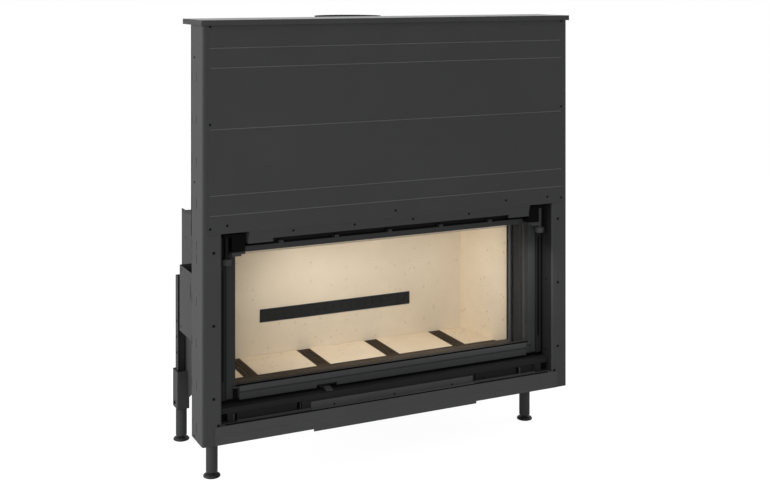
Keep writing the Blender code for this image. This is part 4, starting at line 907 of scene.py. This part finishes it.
# Pressed creases of the upper panel: each ridge is half a lens, its height the square root of
# one less the square of the share across, and it runs out towards its ends.
def makeCreases():
    data = creases
    x = np.linspace(-1, 1, data["points"]) * data["half"]
    ease = smoothRise((data["half"] - np.abs(x)) / data["run"])[:, None]
    across = np.cos(np.linspace(math.pi, 0, data["arc"]))[None]
    shapes = []
    for level in data["heights"]:
        height = data["rise"] * np.sqrt(1 - across ** 2)
        depth = data["face"] - height * (data["endRise"] + (1 - data["endRise"]) * ease)
        z = level + data["width"] * across * (data["endWidth"] + (1 - data["endWidth"]) * ease)
        ring = np.stack([np.broadcast_to(x[:, None], depth.shape), depth, z], -1)
        back = ring[:, ::-1][:, 1:-1] * (1, 0, 1) + (0, data["face"] + data["back"], 0)
        shapes.append(gridShape(np.concatenate([ring, back], 1)))
    # The ridges take a paler paint as a painted highlight.
    addPiece("panelCreases", shapes, "creaseHighlightPaint", "insert", sharp=60)


headEnds = {"reach": (0.512, 0.6105), "heights": (0.9045, 0.9190), "face": 0.0108,
            "sheet": 0.0015, "corner": 0.002,
            "return": {"depths": (0.0110, 0.0500), "heights": (0.9060, 0.9540)}}


# End plates of the head plate: two small hanging plates beside the corner blocks, and a return
# at each end that runs back beside the block.
def makeHeadEnds():
    sheet, corner = headEnds["sheet"], headEnds["corner"]
    near, far = headEnds["return"]["depths"]
    bottom, top = headEnds["return"]["heights"]
    shapes = []
    for _, side in sides:
        shapes.append(frontPlate(side, headEnds["reach"], headEnds["heights"],
                                 headEnds["face"] + sheet, corner, sheet))
        middle = (side * (headEnds["reach"][1] - sheet), (near + far) / 2, (bottom + top) / 2)
        shapes.append(plateAt([middle], (far - near, top - bottom), corner, sheet,
                              (side, 0, 0)))
    addPiece("headPlateEnds", shapes, "casingPaint", "insert")


railTop = {"depths": (0.0008, 0.0125), "height": 0.2503, "half": 0.700}
coverPlate = {"half": 0.3540, "sheet": 0.0008, "strip": (0.0008, 0.0088), "shelf": (0.0088, 0.0262),
              "fillerHalf": 0.3555, "fillerHeights": (0.2600, 0.2822), "fillerDepth": 0.0303,
              "face": 0.0272, "screw": (0.0036, 0.0015), "screws": (-0.257, 0.0, 0.257),
              "screwHeight": 0.2558}


# Cover of the air box: a black strip and a shelf between it and the rail, a plate that closes
# the gap over it, and its screws. The black strip is a painted shadow under the cover, and the
# plate takes the darker paint of painted shade.
def makeCoverDetails():
    data = coverPlate
    ends = (-data["half"], data["half"])
    for title, depths, coat in (("coverStrip", data["strip"], "ledgePaint"),
                                ("coverShelf", data["shelf"], "railPaint")):
        addPiece(title, [levelStrip(*depths, railTop["height"], data["sheet"], ends)], coat,
                 "insert")
    low, high = data["fillerHeights"]
    ends = (-data["fillerHalf"], data["fillerHalf"])
    addPiece("coverFiller", [uprightStrip(data["fillerDepth"], high, low, data["sheet"], ends)],
             "paintedShadePaint", "insert")
    spots = [(x, data["face"], data["screwHeight"]) for x in data["screws"]]
    addPiece("coverScrews", [stamp(screwHead(*data["screw"]), facing(spots, frontFace))],
             "darkScrew", "insert")


airBox = {
    "front": 0.030, "low": 0.2405, "high": 0.2825, "sheet": 0.0015, "corner": 0.0015,
    "thin": 0.0008,
    "windows": {"left": (0.4060, 0.6495), "right": (0.3570, 0.6495)}, "windowDepth": 0.0385,
    "windowSheet": 0.001, "gap": 0.0005, "lowGap": 0.0120, "highGap": 0.0040,
    "end": (0.6500, 0.6830), "endBack": 0.003, "tab": (0.3565, 0.3900),
    "catch": {"across": (0.6850, 0.7125), "back": 0.024, "front": 0.004, "bend": 0.002,
              "rise": (0.001, 0.014)},
    "sill": [(0.0130, 0.2506), (0.0284, 0.2506), (0.0284, 0.2546)], "sillBend": 0.0012,
    "sillGap": 0.001, "lip": {"across": 0.3960, "depths": (0.0055, -0.0016), "sheet": 0.0014},
    "slots": {"left": (-0.6555, -0.6485), "right": (0.5630, 0.5705)}, "slotFace": -0.0004,
    "lips": {"left": (-0.6620, -0.6575), "right": (0.5730, 0.5800)}, "lipFace": -0.0014,
    "slotSheet": 0.0006, "bolt": (0.0040, 0.0040), "boltSpot": (0.7000, 0.012, 0.2620),
    "screw": (0.0036, 0.0015), "screwSpot": (0.4040, 0.0010, 0.2590),
}


# Air box: recessed plates in the windows, end plates with a bolt and a catch, a sill under each
# window, upright slots with a paler lip beside each, and screws; each slot is a dark strip, a
# painted shade of its opening. The front, the windowDepth and the sill's line are counted from
# the casing's front, every other depth from the box's front.
def makeAirBoxDetails():
    data, catch, lip = airBox, airBox["catch"], airBox["lip"]
    low, high, face, sheet = data["low"], data["high"], data["front"], data["sheet"]
    for name, side in sides:
        inner, outer = data["windows"][name]
        shapes = [uprightStrip(data["windowDepth"], high - data["gap"], low + data["gap"],
                               data["windowSheet"], sideSpan(side, inner, outer))]
        plates = [(data["end"], face + data["endBack"])] + [(data["tab"], face)] * (side < 0)
        for across, depth in plates:
            shapes.append(frontPlate(side, across, (low, high), depth, data["corner"], sheet))
        near, far = catch["across"]
        bent = roundLine([(side * near, face + catch["back"]), (side * near, face + catch["front"]),
                          (side * far, face + catch["front"])], catch["bend"])
        shapes.append(fold(bent, sheet, low + catch["rise"][0], low + catch["rise"][1], 2))
        # The window and end plates take the darker paint as painted shade.
        addPiece("airBoxPlates_" + name, shapes, "paintedShadePaint", "insert")

        shapes = [fold(roundLine(data["sill"], data["sillBend"]), data["thin"],
                       *sideSpan(side, coverPlate["half"] + data["sillGap"], outer), 0)]
        if side < 0:
            line = [(side * lip["across"], face + depth) for depth in lip["depths"]]
            shapes.append(fold(line, lip["sheet"], low + data["lowGap"], high - data["gap"], 2))
        addPiece("airBoxSills_" + name, shapes, "casingPaint", "insert")

        for title, ends, back, coat in (("Slots", data["slots"], data["slotFace"], "ledgePaint"),
                                        ("Lips", data["lips"], data["lipFace"], "casingPaint")):
            strip = uprightStrip(face + back, high - data["highGap"], low + data["lowGap"],
                                 data["slotSheet"], ends[name])
            addPiece("airBox" + title + "_" + name, [strip], coat, "insert")

        shapes = []
        for head, (x, back, z) in ((hexHead(*data["bolt"]), data["boltSpot"]),
                                   (screwHead(*data["screw"]), data["screwSpot"])):
            shapes.append(stamp(head, facing([(side * x, face + back, z)], frontFace)))
        addPiece("airBoxScrews_" + name, shapes, "darkScrew", "insert")

        # A dark strip along the rail's top beside the cover is a painted shadow.
        addPiece("railStrip_" + name,
                 [levelStrip(*railTop["depths"], railTop["height"], data["thin"],
                             sideSpan(side, coverPlate["half"], railTop["half"]))],
                 "darkScrew", "insert")


trim = {
    "half": 0.6275, "notch": (-0.3160, -0.2320), "notchRise": 0.0120, "notchEdge": 0.0002,
    "outline": [(0.0677, 0.3150), (0.0606, 0.3150), (0.0596, 0.3160), (0.0596, 0.3416),
                (0.0600, 0.3424), (0.0622, 0.3430), (0.0622, 0.3462), (0.0584, 0.3470),
                (0.0580, 0.3478), (0.0584, 0.3640), (0.0592, 0.3660), (0.0612, 0.3670),
                (0.0677, 0.3670)],
    "ledge": {"strip": (0.0613, 0.0740), "back": (0.0740, 0.0776), "height": 0.3672,
              "half": 0.6395, "sheet": 0.0010},
}


# Lower trim of the door: its outline of two bands with a groove is carried along x, and the
# first three points of the lower band rise over the notch. A black strip covers the ledge.
def makeTrim():
    outline = np.array(trim["outline"])
    low, high = trim["notch"]
    edge = trim["notchEdge"]
    stations = [-trim["half"], low, low + edge, high - edge, high, trim["half"]]
    rings = []
    for x, raised in zip(stations, (0, 0, 1, 1, 0, 0)):
        ring = np.insert(outline, 0, x, axis=1)
        ring[:3, 2] += raised * trim["notchRise"]
        rings.append(ring)
    # The upper band's paler colour is painted light.
    rail = addPiece("trimRail", [gridShape(np.stack(rings))], "trimPaint", "door_leaf")
    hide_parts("door_bottom_rail")
    ledge = trim["ledge"]
    for name, depths, coat in (("ledgeStrip", ledge["strip"], "ledgePaint"),
                               ("ledgeBack", ledge["back"], "casingPaint")):
        strip = levelStrip(*depths, ledge["height"], ledge["sheet"],
                           (-ledge["half"], ledge["half"]))
        addPiece(name, [strip], coat, "door_leaf")


doorDetails = {
    "clips": {"spots": (0, -0.229, 0.229, -0.458, 0.458), "depth": 0.0681, "height": 0.88625,
              "size": (0.018, 0.0145), "corner": 0.002, "sheet": 0.0012},
    "bracket": {"across": (0.6320, 0.6500), "rise": (0.3215, 0.3598), "face": 0.0677,
                "corner": 0.003, "sheet": 0.0025, "lip": 0.008, "lipSheet": 0.0018,
                "lipGap": 0.0002, "screws": (0.3300, 0.3520), "screw": (0.0035, 0.0016)},
    "tab": {"across": (0.6290, 0.6520), "rise": (0.3606, 0.3652), "corner": 0.0016,
            "thick": 0.008, "bevel": 0.0008},
    "slot": {"across": 0.6912, "rise": (0.384, 0.807), "face": 0.066, "width": 0.008,
             "share": 0.98, "sheet": 0.0003, "bevel": 0.0001, "rim": 0.0006, "steps": 8},
}


# Door: clips along the top edge, a hinge bracket with a small tab at each lower corner, and the
# slots down the carriage posts.
def makeDoorDetails():
    clips, bracket = doorDetails["clips"], doorDetails["bracket"]
    tab, slot = doorDetails["tab"], doorDetails["slot"]
    spots = [(x, clips["depth"], clips["height"]) for x in clips["spots"]]
    addPiece("leafClips", [plateAt(spots, clips["size"], clips["corner"], clips["sheet"],
                                   frontFace)], "doorPaint", "door_leaf")
    for name, side in sides:
        face, sheet = bracket["face"], bracket["sheet"]
        shapes = [frontPlate(side, bracket["across"], bracket["rise"], face, bracket["corner"],
                             sheet)]
        outer = side * (bracket["across"][1] + bracket["lipGap"])
        shapes.append(fold([(outer, face), (outer, face - bracket["lip"])], bracket["lipSheet"],
                           *bracket["rise"], 2))
        middle = side * sum(bracket["across"]) / 2
        spots = [(middle, face - sheet, z) for z in bracket["screws"]]
        shapes.append(stamp(screwHead(*bracket["screw"]), facing(spots, frontFace)))
        # The left bracket is black as painted shade; the right one takes the door's paint.
        coat = "blackPaint" if side < 0 else "doorPaint"
        addPiece("hingeBracket_" + name, shapes, coat, "door_leaf")
        shape = frontPlate(side, tab["across"], tab["rise"], face, tab["corner"], tab["thick"],
                           tab["bevel"])
        addPiece("hingeTab_" + name, [shape], "casingPaint", "door_leaf")

        # Each slot is a dark plate inside a rim, a painted shade of the groove.
        low, high = slot["rise"]
        outline = roundRectangle(slot["width"], high - low, slot["width"] / 2 - hairline,
                                 slot["steps"])
        frames = facing([(side * slot["across"], slot["face"], (low + high) / 2)], frontFace, 0)
        shapes = [stamp(plate(outline * slot["share"], slot["sheet"], slot["bevel"]), frames),
                  stamp(rim(outline, slot["rim"]), frames)]
        addPiece("postSlot_" + name, shapes, "darkScrew", "carriage")


jetBack = {"half": 0.3525, "heights": (0.4345, 0.4865), "depth": 0.5996, "sheet": 0.0004}


# Jet strip: a dark sheet closes its slots from behind, a painted shade in the slots.
def makeJetBack():
    low, high = jetBack["heights"]
    strip = uprightStrip(jetBack["depth"], high, low, -jetBack["sheet"],
                         (-jetBack["half"], jetBack["half"]))
    addPiece("jetStripBack", [strip], "ledgePaint", "insert")


portal = {"half": 0.6262, "low": 0.341, "high": 0.8672, "corner": 0.012, "cornerSteps": 8,
          "ridge": {"depth": 0.1860, "radius": 0.0054, "inset": 0.0010},
          "rope": {"depth": 0.1630, "radius": 0.0040, "inset": 0.0030}, "steps": 12,
          "sill": {"depths": (0.1178, 0.2134), "height": 0.3388, "lip": 0.020, "sheet": 0.0015}}


# Front frame: a rounded ridge and a dark rope run up one side of the opening, over and down, and
# a folded sill closes its foot.
def makePortalDetails():
    data, sill = portal, portal["sill"]
    # The ridge takes a paler paint as a painted highlight; the rope is dark.
    for name, edge, coat in (("portalRidge", data["ridge"], "creaseHighlightPaint"),
                             ("portalRope", data["rope"], "darkScrew")):
        half, high = data["half"] - edge["inset"], data["high"] - edge["inset"]
        corners = [(-half, data["low"]), (-half, high), (half, high), (half, data["low"])]
        path = roundLine([(x, edge["depth"], z) for x, z in corners], data["corner"],
                         data["cornerSteps"])
        addPiece(name, [tube(path, edge["radius"], (0, 1, 0), data["steps"])], coat, "insert",
                 sharp=60)
    front, back = sill["depths"]
    line = [(front, sill["height"]), (back, sill["height"]),
            (back, sill["height"] - sill["lip"])]
    addPiece("portalSill", [fold(line, sill["sheet"], -data["half"], data["half"], 0)],
             "sillPaint", "insert")


latch = {"centre": (0.683, 0.044), "pin": 0.0094, "pinHigh": 0.9449, "pinBevel": 0.0010,
         "knob": 0.0192, "knobLow": 0.8262, "knobHigh": 0.8490, "flatInset": 0.0022,
         "edgeInset": 0.0009, "edgeRise": 0.0010, "hollow": [(0.006, 0.0012), (0.009, 0.0010),
                                                             (0.010, 0.0)],
         "collar": [(0.0125, 0.0), (0.0120, 0.0015)], "ribs": 30, "ribDepth": 0.0007,
         "ribRun": 2.5, "ribRows": 15, "points": 180}


# Latch pins: a turned profile whose knob carries two crossing sets of ribs, each a triangle
# wave of the angle plus or minus the height.
def makeLatchPins():
    data = latch
    low, high, top = data["knobLow"], data["knobHigh"], data["pinHigh"]
    flat, edge = data["knob"] - data["flatInset"], data["knob"] - data["edgeInset"]
    rise, pin, bevel = data["edgeRise"], data["pin"], data["pinBevel"]
    below = [(radius, low + height) for radius, height in data["hollow"]]
    below += [(flat, low), (edge, low + rise)]
    above = [(edge, high - rise), (flat, high)]
    above += [(radius, high + height) for radius, height in data["collar"]]
    above += [(pin, above[-1][1]), (pin, top - bevel), (pin - bevel, top)]
    turn = np.linspace(0, fullTurn, data["points"], endpoint=False)[None]
    level = np.linspace(0, 1, data["ribRows"])[:, None]
    turns, run = data["ribs"] * turn / fullTurn, data["ribRun"] * level
    ribs = (triangleWave(turns + run) + triangleWave(turns - run)) / 2
    below, above = np.array(below), np.array(above)
    radius = np.vstack([below[:, :1] + 0 * turn, data["knob"] - data["ribDepth"] * ribs,
                        above[:, :1] + 0 * turn])
    inset = data["flatInset"]
    height = np.vstack([below[:, 1:], low + inset + level * (high - low - 2 * inset),
                        above[:, 1:]])
    points, quads, triangles = gridShape(turned(radius, height, turn))
    x, depth = data["centre"]
    for name, side in sides:
        moved = (points + (side * x, depth, 0), quads, triangles)
        # Each pin takes its own copy of the steel, darker on the left as painted shade and paler on
        # the right as painted light.
        piece = addPiece("latchPin_" + name, [moved], "latchSteelPaintedLight_" + name, "latch_" + name,
                         sharp=32)
        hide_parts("latch_pin_" + name)


feet = {"spots": {"front_left": (-0.696, 0.181), "front_right": (0.696, 0.181),
                  "rear_left": (-0.696, 0.592), "rear_right": (0.696, 0.592)},
        "sole": [(0.0290, 0.0), (0.0312, 0.0), (0.0325, 0.0010), (0.0325, 0.0044),
                 (0.0318, 0.0050)],
        "domeStart": (0.0115, 0.0058), "domeSize": (0.0195, 0.0062), "domePoints": 9,
        "neck": [(0.0112, 0.0130), (0.0112, 0.0172), (0.0104, 0.0179), (0.0070, 0.0179)],
        "padSteps": 56, "stem": 0.0078, "threadDepth": 0.0010, "pitch": 0.0025,
        "rowsPerTurn": 6, "stemSteps": 24, "stemLow": 0.0175, "stemLength": 0.0918,
        "tip": 0.002, "tipShare": 0.8}


# Levelling feet: a turned pad with a rubber sole, and a threaded stem whose radius is the
# crest less the depth of a triangle wave of height over pitch minus the angle's share of a turn.
def makeFeet():
    data = feet
    arc = np.linspace(0, math.pi / 2, data["domePoints"])[:, None]
    quarter = np.hstack([np.cos(arc), np.sin(arc)])
    domed = np.array(data["domeStart"]) + quarter * data["domeSize"]
    pad = lathe(np.vstack([data["sole"], domed, data["neck"]]), data["padSteps"])
    turn = np.linspace(0, fullTurn, data["stemSteps"], endpoint=False)[None]
    length = data["stemLength"]
    rows = int(length / data["pitch"] * data["rowsPerTurn"])
    height = np.linspace(0, length, rows)[:, None]
    wave = triangleWave(height / data["pitch"] - turn / fullTurn)
    ease = np.minimum(1, (length - height) / data["tip"])
    radius = data["stem"] - data["threadDepth"] * wave
    radius = radius * (data["tipShare"] + (1 - data["tipShare"]) * ease)
    stem = gridShape(turned(radius, data["stemLow"] + height, turn))
    for name, (x, depth) in data["spots"].items():
        shapes = [(shape[0] + (x, depth, 0), shape[1], shape[2]) for shape in (pad, stem)]
        foot = addPiece("foot_" + name, shapes, "footPaint", "level_" + name)
        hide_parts("foot_" + name)


legBolts = {"front": (0.7245, 0.181, 0.2215), "rear": (0.7211, 0.601, 0.151),
            "bolt": (0.0050, 0.0042), "strip": 0.7124, "stripDepth": 0.6035,
            "holes": (0.354, 0.418, 0.483), "screw": (0.0060, 0.0016)}


# Bolts of the legs: clamp bolts in the sleeves' outer walls, and dark screws in the holes of
# the rear brackets' strips.
def makeLegBolts():
    data = legBolts
    bolt = hexHead(*data["bolt"])
    for name, side in sides:
        out = (side, 0, 0)
        x, depth, z = data["front"]
        shape = stamp(bolt, facing([(side * x, depth, z)], out))
        addPiece("sleeveBolt_front_" + name, [shape], "darkScrew", "insert")
        x, depth, z = data["rear"]
        shapes = [stamp(bolt, facing([(side * x, depth, z)], out))]
        spots = [(side * data["strip"], data["stripDepth"], z) for z in data["holes"]]
        shapes.append(stamp(screwHead(*data["screw"]), facing(spots, out)))
        addPiece("bracketScrews_" + name, shapes, "darkScrew", "insert")


dome = {"half": 0.585, "deep": 0.1965, "middle": 0.4215, "foot": 0.9176, "shoulder": 0.9473,
        "top": 1.4000, "flueDepth": 0.481, "flue": 0.141, "points": 32, "bead": 0.0030,
        "foldShare": 0.8, "foldPoints": 12, "foldSide": (0, 1, 0.2)}
collar = {"rolled": (1.640, 1.656), "roll": 0.0030, "sunk": 0.0006, "points": 72, "sides": 10,
          "seam": (1.4045, 1.636), "seamBead": 0.0018, "seamGap": 0.0002}


# The dome's section: a ray at each angle, drawn out to the rectangle, or the collar's circle.
def domeSection(level, isRound):
    turn = fullTurn * (np.arange(dome["points"]) + 0.5) / dome["points"]
    cosine, sine = np.cos(turn), np.sin(turn)
    if isRound:
        x, depth = dome["flue"] * cosine, dome["flueDepth"] + dome["flue"] * sine
    else:
        stretch = 1 / np.maximum(np.abs(cosine), np.abs(sine))
        x = dome["half"] * cosine * stretch
        depth = dome["middle"] + dome["deep"] * sine * stretch
    return np.stack([x, depth, np.full(len(turn), level)], -1)


# Dome: weld beads round its foot, up its folded corners and round the collar's foot.
def makeDomeWelds():
    foot = domeSection(dome["foot"], False)
    shoulder = domeSection(dome["shoulder"], False)
    top = domeSection(dome["top"], True)
    shapes = [bead(foot, dome["bead"], loop=True), bead(top, dome["bead"], loop=True)]
    eighth = dome["points"] // 8
    for corner in (eighth - 1, 3 * eighth, 5 * eighth - 1, 7 * eighth):
        line = np.linspace(shoulder[corner], top[corner], dome["foldPoints"])
        shapes.append(bead(np.vstack([foot[corner], line]), dome["bead"] * dome["foldShare"],
                           ref=dome["foldSide"]))
    addPiece("domeWelds", shapes, "weldSteel", "insert", sharp=60)


# Collar: two rolled rings round it, and its upright seam at the back.
def makeCollarBeads():
    turn = np.linspace(0, fullTurn, collar["points"], endpoint=False)
    shapes = []
    for level in collar["rolled"]:
        ring = turned(dome["flue"] - collar["sunk"], level, turn) + (0, dome["flueDepth"], 0)
        shapes.append(tube(ring, collar["roll"], (0, 0, 1), collar["sides"], loop=True))
    back = dome["flueDepth"] + dome["flue"] + collar["seamGap"]
    seam = [(0.0, back, level) for level in collar["seam"]]
    shapes.append(bead(seam, collar["seamBead"], ref=(1, 0, 0)))
    addPiece("collarBeads", shapes, "stovePaint", "insert", sharp=60)


bodyScrews = {
    "rearPlate": {"face": 0.1433, "columns": (-0.770, -0.45, -0.15, 0.15, 0.45, 0.770),
                  "rows": (0.945, 1.71), "rise": (1.10, 1.26, 1.42, 1.58),
                  "head": (0.0042, 0.0034, 1.7)},
    "jacket": {"face": 0.6735, "spots": [(0.530, 0.880), (0.645, 0.926), (0.645, 0.700)],
               "screw": (0.0042, 0.0018, 4, 0.4), "slot": (0.605, 0.8208),
               "slotSize": (0.0045, 0.014)},
    "box": {"face": 0.760, "spots": [(0.165, 0.525), (0.165, 0.745), (0.375, 0.525),
                                     (0.375, 0.745)],
            "screw": (0.0036, 0.0016, 4, 0.4), "slot": (0.2482, 0.6905),
            "slotSize": (0.0050, 0.057)},
    "slotSheet": 0.0004, "slotBevel": 0.0001,
    "shell": {"face": 0.6323, "spots": (-0.60, -0.36, -0.12, 0.12, 0.36, 0.60),
              "heights": (0.290, 0.470), "head": (0.0055, 0.0050)},
}


# Cross-slot screws and one upright slot on an outer side wall.
def sideWallMarks(wall, side):
    out, x = (side, 0, 0), side * wall["face"]
    spots = [(x, depth, z) for depth, z in wall["spots"]]
    wide = wall["slotSize"][0]
    return [stamp(screwHead(*wall["screw"]), facing(spots, out)),
            plateAt([(x, *wall["slot"])], wall["slotSize"], wide / 2 - hairline,
                    bodyScrews["slotSheet"], out, bodyScrews["slotBevel"])]


# Fasteners seen from behind and from the sides.
def makeBodyScrews():
    plateWall, shell = bodyScrews["rearPlate"], bodyScrews["shell"]
    face, columns = plateWall["face"], plateWall["columns"]
    spots = [(x, face, z) for x in columns for z in plateWall["rows"]]
    spots += [(x, face, z) for x in (columns[0], columns[-1]) for z in plateWall["rise"]]
    addPiece("rearPlateScrews", [stamp(hexHead(*plateWall["head"]), facing(spots, backFace))],
             "zincSteel", "insert")
    shapes = sideWallMarks(bodyScrews["jacket"], -1) + sideWallMarks(bodyScrews["jacket"], 1)
    addPiece("jacketScrews", shapes, "darkScrew", "insert")
    for name, side in sides:
        addPiece("sideBoxScrews_" + name, sideWallMarks(bodyScrews["box"], side), "darkScrew",
                 "insert")
    spots = [(x, shell["face"], z) for x in shell["spots"] for z in shell["heights"]]
    addPiece("shellStuds", [stamp(hexHead(*shell["head"]), facing(spots, backFace))],
             "weldSteel", "insert")


ropes = {"inner": 0.69125, "outer": 0.75125, "depth": 0.083, "pulleyHeight": 1.6297,
         "pulley": 0.030, "doorEnd": 0.9494, "weightEnd": 1.5500, "strands": 6,
         "strand": 0.00052, "strandSides": 6, "offset": 0.00092, "pitch": 0.018,
         "ferrule": [(0.0012, 0.0), (0.0026, 0.0004), (0.0026, 0.0100), (0.0020, 0.0108),
                     (0.0016, 0.0125)],
         "ferruleSteps": 20, "held": 0.0126, "longPoints": 300, "shortPoints": 60}


# Twisted strands: a strand's point is the line plus the offset turned by the run's length over
# the pitch.
def twisted(path):
    run = lengthAlong(path)
    ahead = unit(np.gradient(path, axis=0))
    side = np.broadcast_to((0.0, 1.0, 0.0), path.shape)
    rise = np.cross(side, ahead)
    shapes = []
    for strand in range(ropes["strands"]):
        turn = (run / ropes["pitch"] + strand / ropes["strands"])[:, None] * fullTurn
        line = path + ropes["offset"] * (np.cos(turn) * side + np.sin(turn) * rise)
        shapes.append(tube(line, ropes["strand"], (0, 1, 0), ropes["strandSides"]))
    return joinShapes(shapes)


# One straight run of the rope, from a start to an end height, and a ferrule at its tie.
def ropeRun(x, start, end, tie, count):
    heights = np.linspace(start, end, count)
    line = np.stack([np.full(count, x), np.full(count, ropes["depth"]), heights], -1)
    points, quads, triangles = lathe(ropes["ferrule"], ropes["ferruleSteps"])
    return [twisted(line), (points + (x, ropes["depth"], tie), quads, triangles)]


# Lift ropes: the door's run, half a turn over the pulley and the counterweight's run. Each
# straight run reaches between its tie and the pulley, and belongs to no body.
def makeRopes():
    data = ropes
    top, depth, doorEnd, weightEnd = (data["pulleyHeight"], data["depth"], data["doorEnd"],
                                      data["weightEnd"])
    for name, side in sides:
        slot = "lift_rope_" + name
        inner, outer = side * data["inner"], side * data["outer"]
        door = addPiece("ropeDoorSide_" + name,
                        ropeRun(inner, doorEnd, top, doorEnd, data["longPoints"]), "zincSteel",
                        None, sharp=60)
        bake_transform(door)
        turn = np.linspace(math.pi, 0, data["shortPoints"])
        wrap = np.stack([(inner + outer) / 2 + data["pulley"] * np.cos(turn) * side,
                         np.full(len(turn), depth), top + data["pulley"] * np.sin(turn)], -1)
        addPiece("ropeOverPulley_" + name, [twisted(wrap)], "zincSteel", "insert",
                 sharp=60)
        down = addPiece("ropeWeightSide_" + name,
                        ropeRun(outer, top, weightEnd, weightEnd, data["shortPoints"]),
                        "zincSteel", None, sharp=60)
        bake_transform(down)
        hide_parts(slot)


makeCasingScrews()
makeCreases()
makeHeadEnds()
print("stage: casing")
makeAirBoxDetails()
makeCoverDetails()
makeTrim()
makeDoorDetails()
print("stage: air box and door")
makePortalDetails()
makeJetBack()
makeLatchPins()
makeFeet()
makeLegBolts()
makeDomeWelds()
makeCollarBeads()
makeBodyScrews()
makeRopes()
print("stage: pieces")

# The picture: a view camera whose picture plane stays upright while it looks down on the
# firebox. Pixels are those of a 770 by 492 picture, and horizonPixel is counted down from its
# top edge.
picture = {
    "place": (-2.0782, -4.5355, 1.8652),
    "turnDegrees": 25.68,
    "focalPixels": 1201.95,
    "horizonPixel": -16.29,
    "size": (770, 492),
    "sensor": 36,
    "clip": (0.05, 60),
}


# Camera axes: right and up are level and upright, and the back axis leans by the horizon's
# distance from the picture's middle over the focal length. The lens is longer by the lean's
# length.
def makeCamera():
    turn = math.radians(picture["turnDegrees"])
    width, height = picture["size"]
    rise = (height / 2 - picture["horizonPixel"]) / picture["focalPixels"]
    right = Vector((math.cos(turn), -math.sin(turn), 0))
    up = Vector((0, 0, 1))
    ahead = Vector((math.sin(turn), math.cos(turn), 0))
    lean = ahead - up * rise
    leaning = Matrix((right, up, -lean.normalized())).transposed().to_4x4()
    level = Matrix((right, up, -ahead)).transposed().to_4x4()
    place = Matrix.Translation(picture["place"])
    data = bpy.data.cameras.new("pictureCamera")
    data.sensor_width = picture["sensor"]
    data.lens = picture["focalPixels"] * lean.length / width * data.sensor_width
    data.clip_start, data.clip_end = picture["clip"]
    camera = bpy.data.objects.new("pictureCamera", data)
    stand = bpy.data.objects.new("cameraStand", None)
    for thing in (camera, stand):
        bpy.context.scene.collection.objects.link(thing)
    camera.matrix_world = place @ level
    camera.parent = stand
    camera.matrix_parent_inverse = (place @ leaning) @ (place @ level).inverted()
    bpy.context.scene.camera = camera


makeCamera()
print("stage: camera")

# Light: a pale studio with large soft lights at the sides, in front and above, and a small one
# in the chamber that no reflection shows.
studio = {
    "worldColor": (0.94, 0.96, 1.0),
    "worldStrength": 0.36,
    "lights": {
        "leftSoft": {"place": (-4.4, 0.1, 2.4), "aim": (0, 0, 0.9), "size": (3.0, 3.0),
                     "power": 225, "mirrored": True},
        "frontSoft": {"place": (-2.6, -7.4, 2.6), "aim": (0, 0, 0.6), "size": (3.6, 3.0),
                      "power": 215, "mirrored": True},
        "topSoft": {"place": (0.2, -0.4, 4.6), "aim": (0, 0, 0.8), "size": (3.0, 2.4),
                    "power": 60, "mirrored": True},
        "rightSoft": {"place": (4.0, -1.0, 2.2), "aim": (0, 0, 0.9), "size": (2.4, 2.6),
                      "power": 30, "mirrored": True},
        "chamberSoft": {"place": (0.17, -0.185, 0.665), "aim": (0.30, 0.11, 0.37),
                        "size": (1.08, 0.26), "power": 2.10, "mirrored": False},
    },
}


def makeStudio():
    scene = bpy.context.scene
    scene.view_settings.view_transform = "Standard"
    world = bpy.data.worlds.new("studioWorld")
    scene.world = world
    world.use_nodes = True
    tree = world.node_tree
    tree.nodes.clear()
    soft = addNode(tree, "Background", Color=(*studio["worldColor"], 1),
                   Strength=studio["worldStrength"])
    white = addNode(tree, "Background", Color=(1, 1, 1, 1), Strength=1.0)
    mixShaders(tree, shownMask(tree), soft.outputs["Background"], white.outputs["Background"],
               tree.nodes.new("ShaderNodeOutputWorld"))
    for name, light in studio["lights"].items():
        data = bpy.data.lights.new(name, "AREA")
        data.shape = "RECTANGLE"
        data.size, data.size_y = light["size"]
        data.energy = light["power"]
        lamp = bpy.data.objects.new(name, data)
        scene.collection.objects.link(lamp)
        aim = Vector(light["aim"]) - Vector(light["place"])
        lamp.rotation_euler = aim.to_track_quat("-Z", "Y").to_euler()
        lamp.location = light["place"]
        lamp.visible_camera = False
        lamp.visible_glossy = light["mirrored"]


floorLook = {"color": (0.88, 0.88, 0.88), "deep": (0.86, 0.86, 0.86), "cloud": 3.0, "rough": 0.9,
             "shine": 0.1, "white": 1.18, "glow": 0.80, "reach": 45, "level": -0.0004}


# Floor: a pale level sheet that glows white for the camera and keeps part of the shadow.
def makeFloor():
    material, tree, shader = newMaterial("paleFloor")
    shader.inputs["Roughness"].default_value = floorLook["rough"]
    shader.inputs["Specular IOR Level"].default_value = floorLook["shine"]
    cloud = noiseNode(tree, (1, 1, 1), floorLook["cloud"])
    tree.links.new(mixColor(tree, cloud, floorLook["deep"], floorLook["color"]),
                   shader.inputs["Base Color"])
    white = addNode(tree, "Emission", Color=(1, 1, 1, 1), Strength=floorLook["white"])
    factor = times(tree, shownMask(tree), floorLook["glow"])
    mixShaders(tree, factor, shader.outputs["BSDF"], white.outputs["Emission"],
               tree.nodes["Material Output"])
    mesh = bpy.data.meshes.new("floor")
    reach, level = floorLook["reach"], floorLook["level"]
    corners = [(-reach, -reach, level), (reach, -reach, level), (reach, reach, level),
               (-reach, reach, level)]
    mesh.from_pydata(corners, [], [(0, 1, 2, 3)])
    mesh.materials.append(material)
    floor = bpy.data.objects.new("floor", mesh)
    bpy.context.scene.collection.objects.link(floor)


makeStudio()
makeFloor()
print("stage: studio")
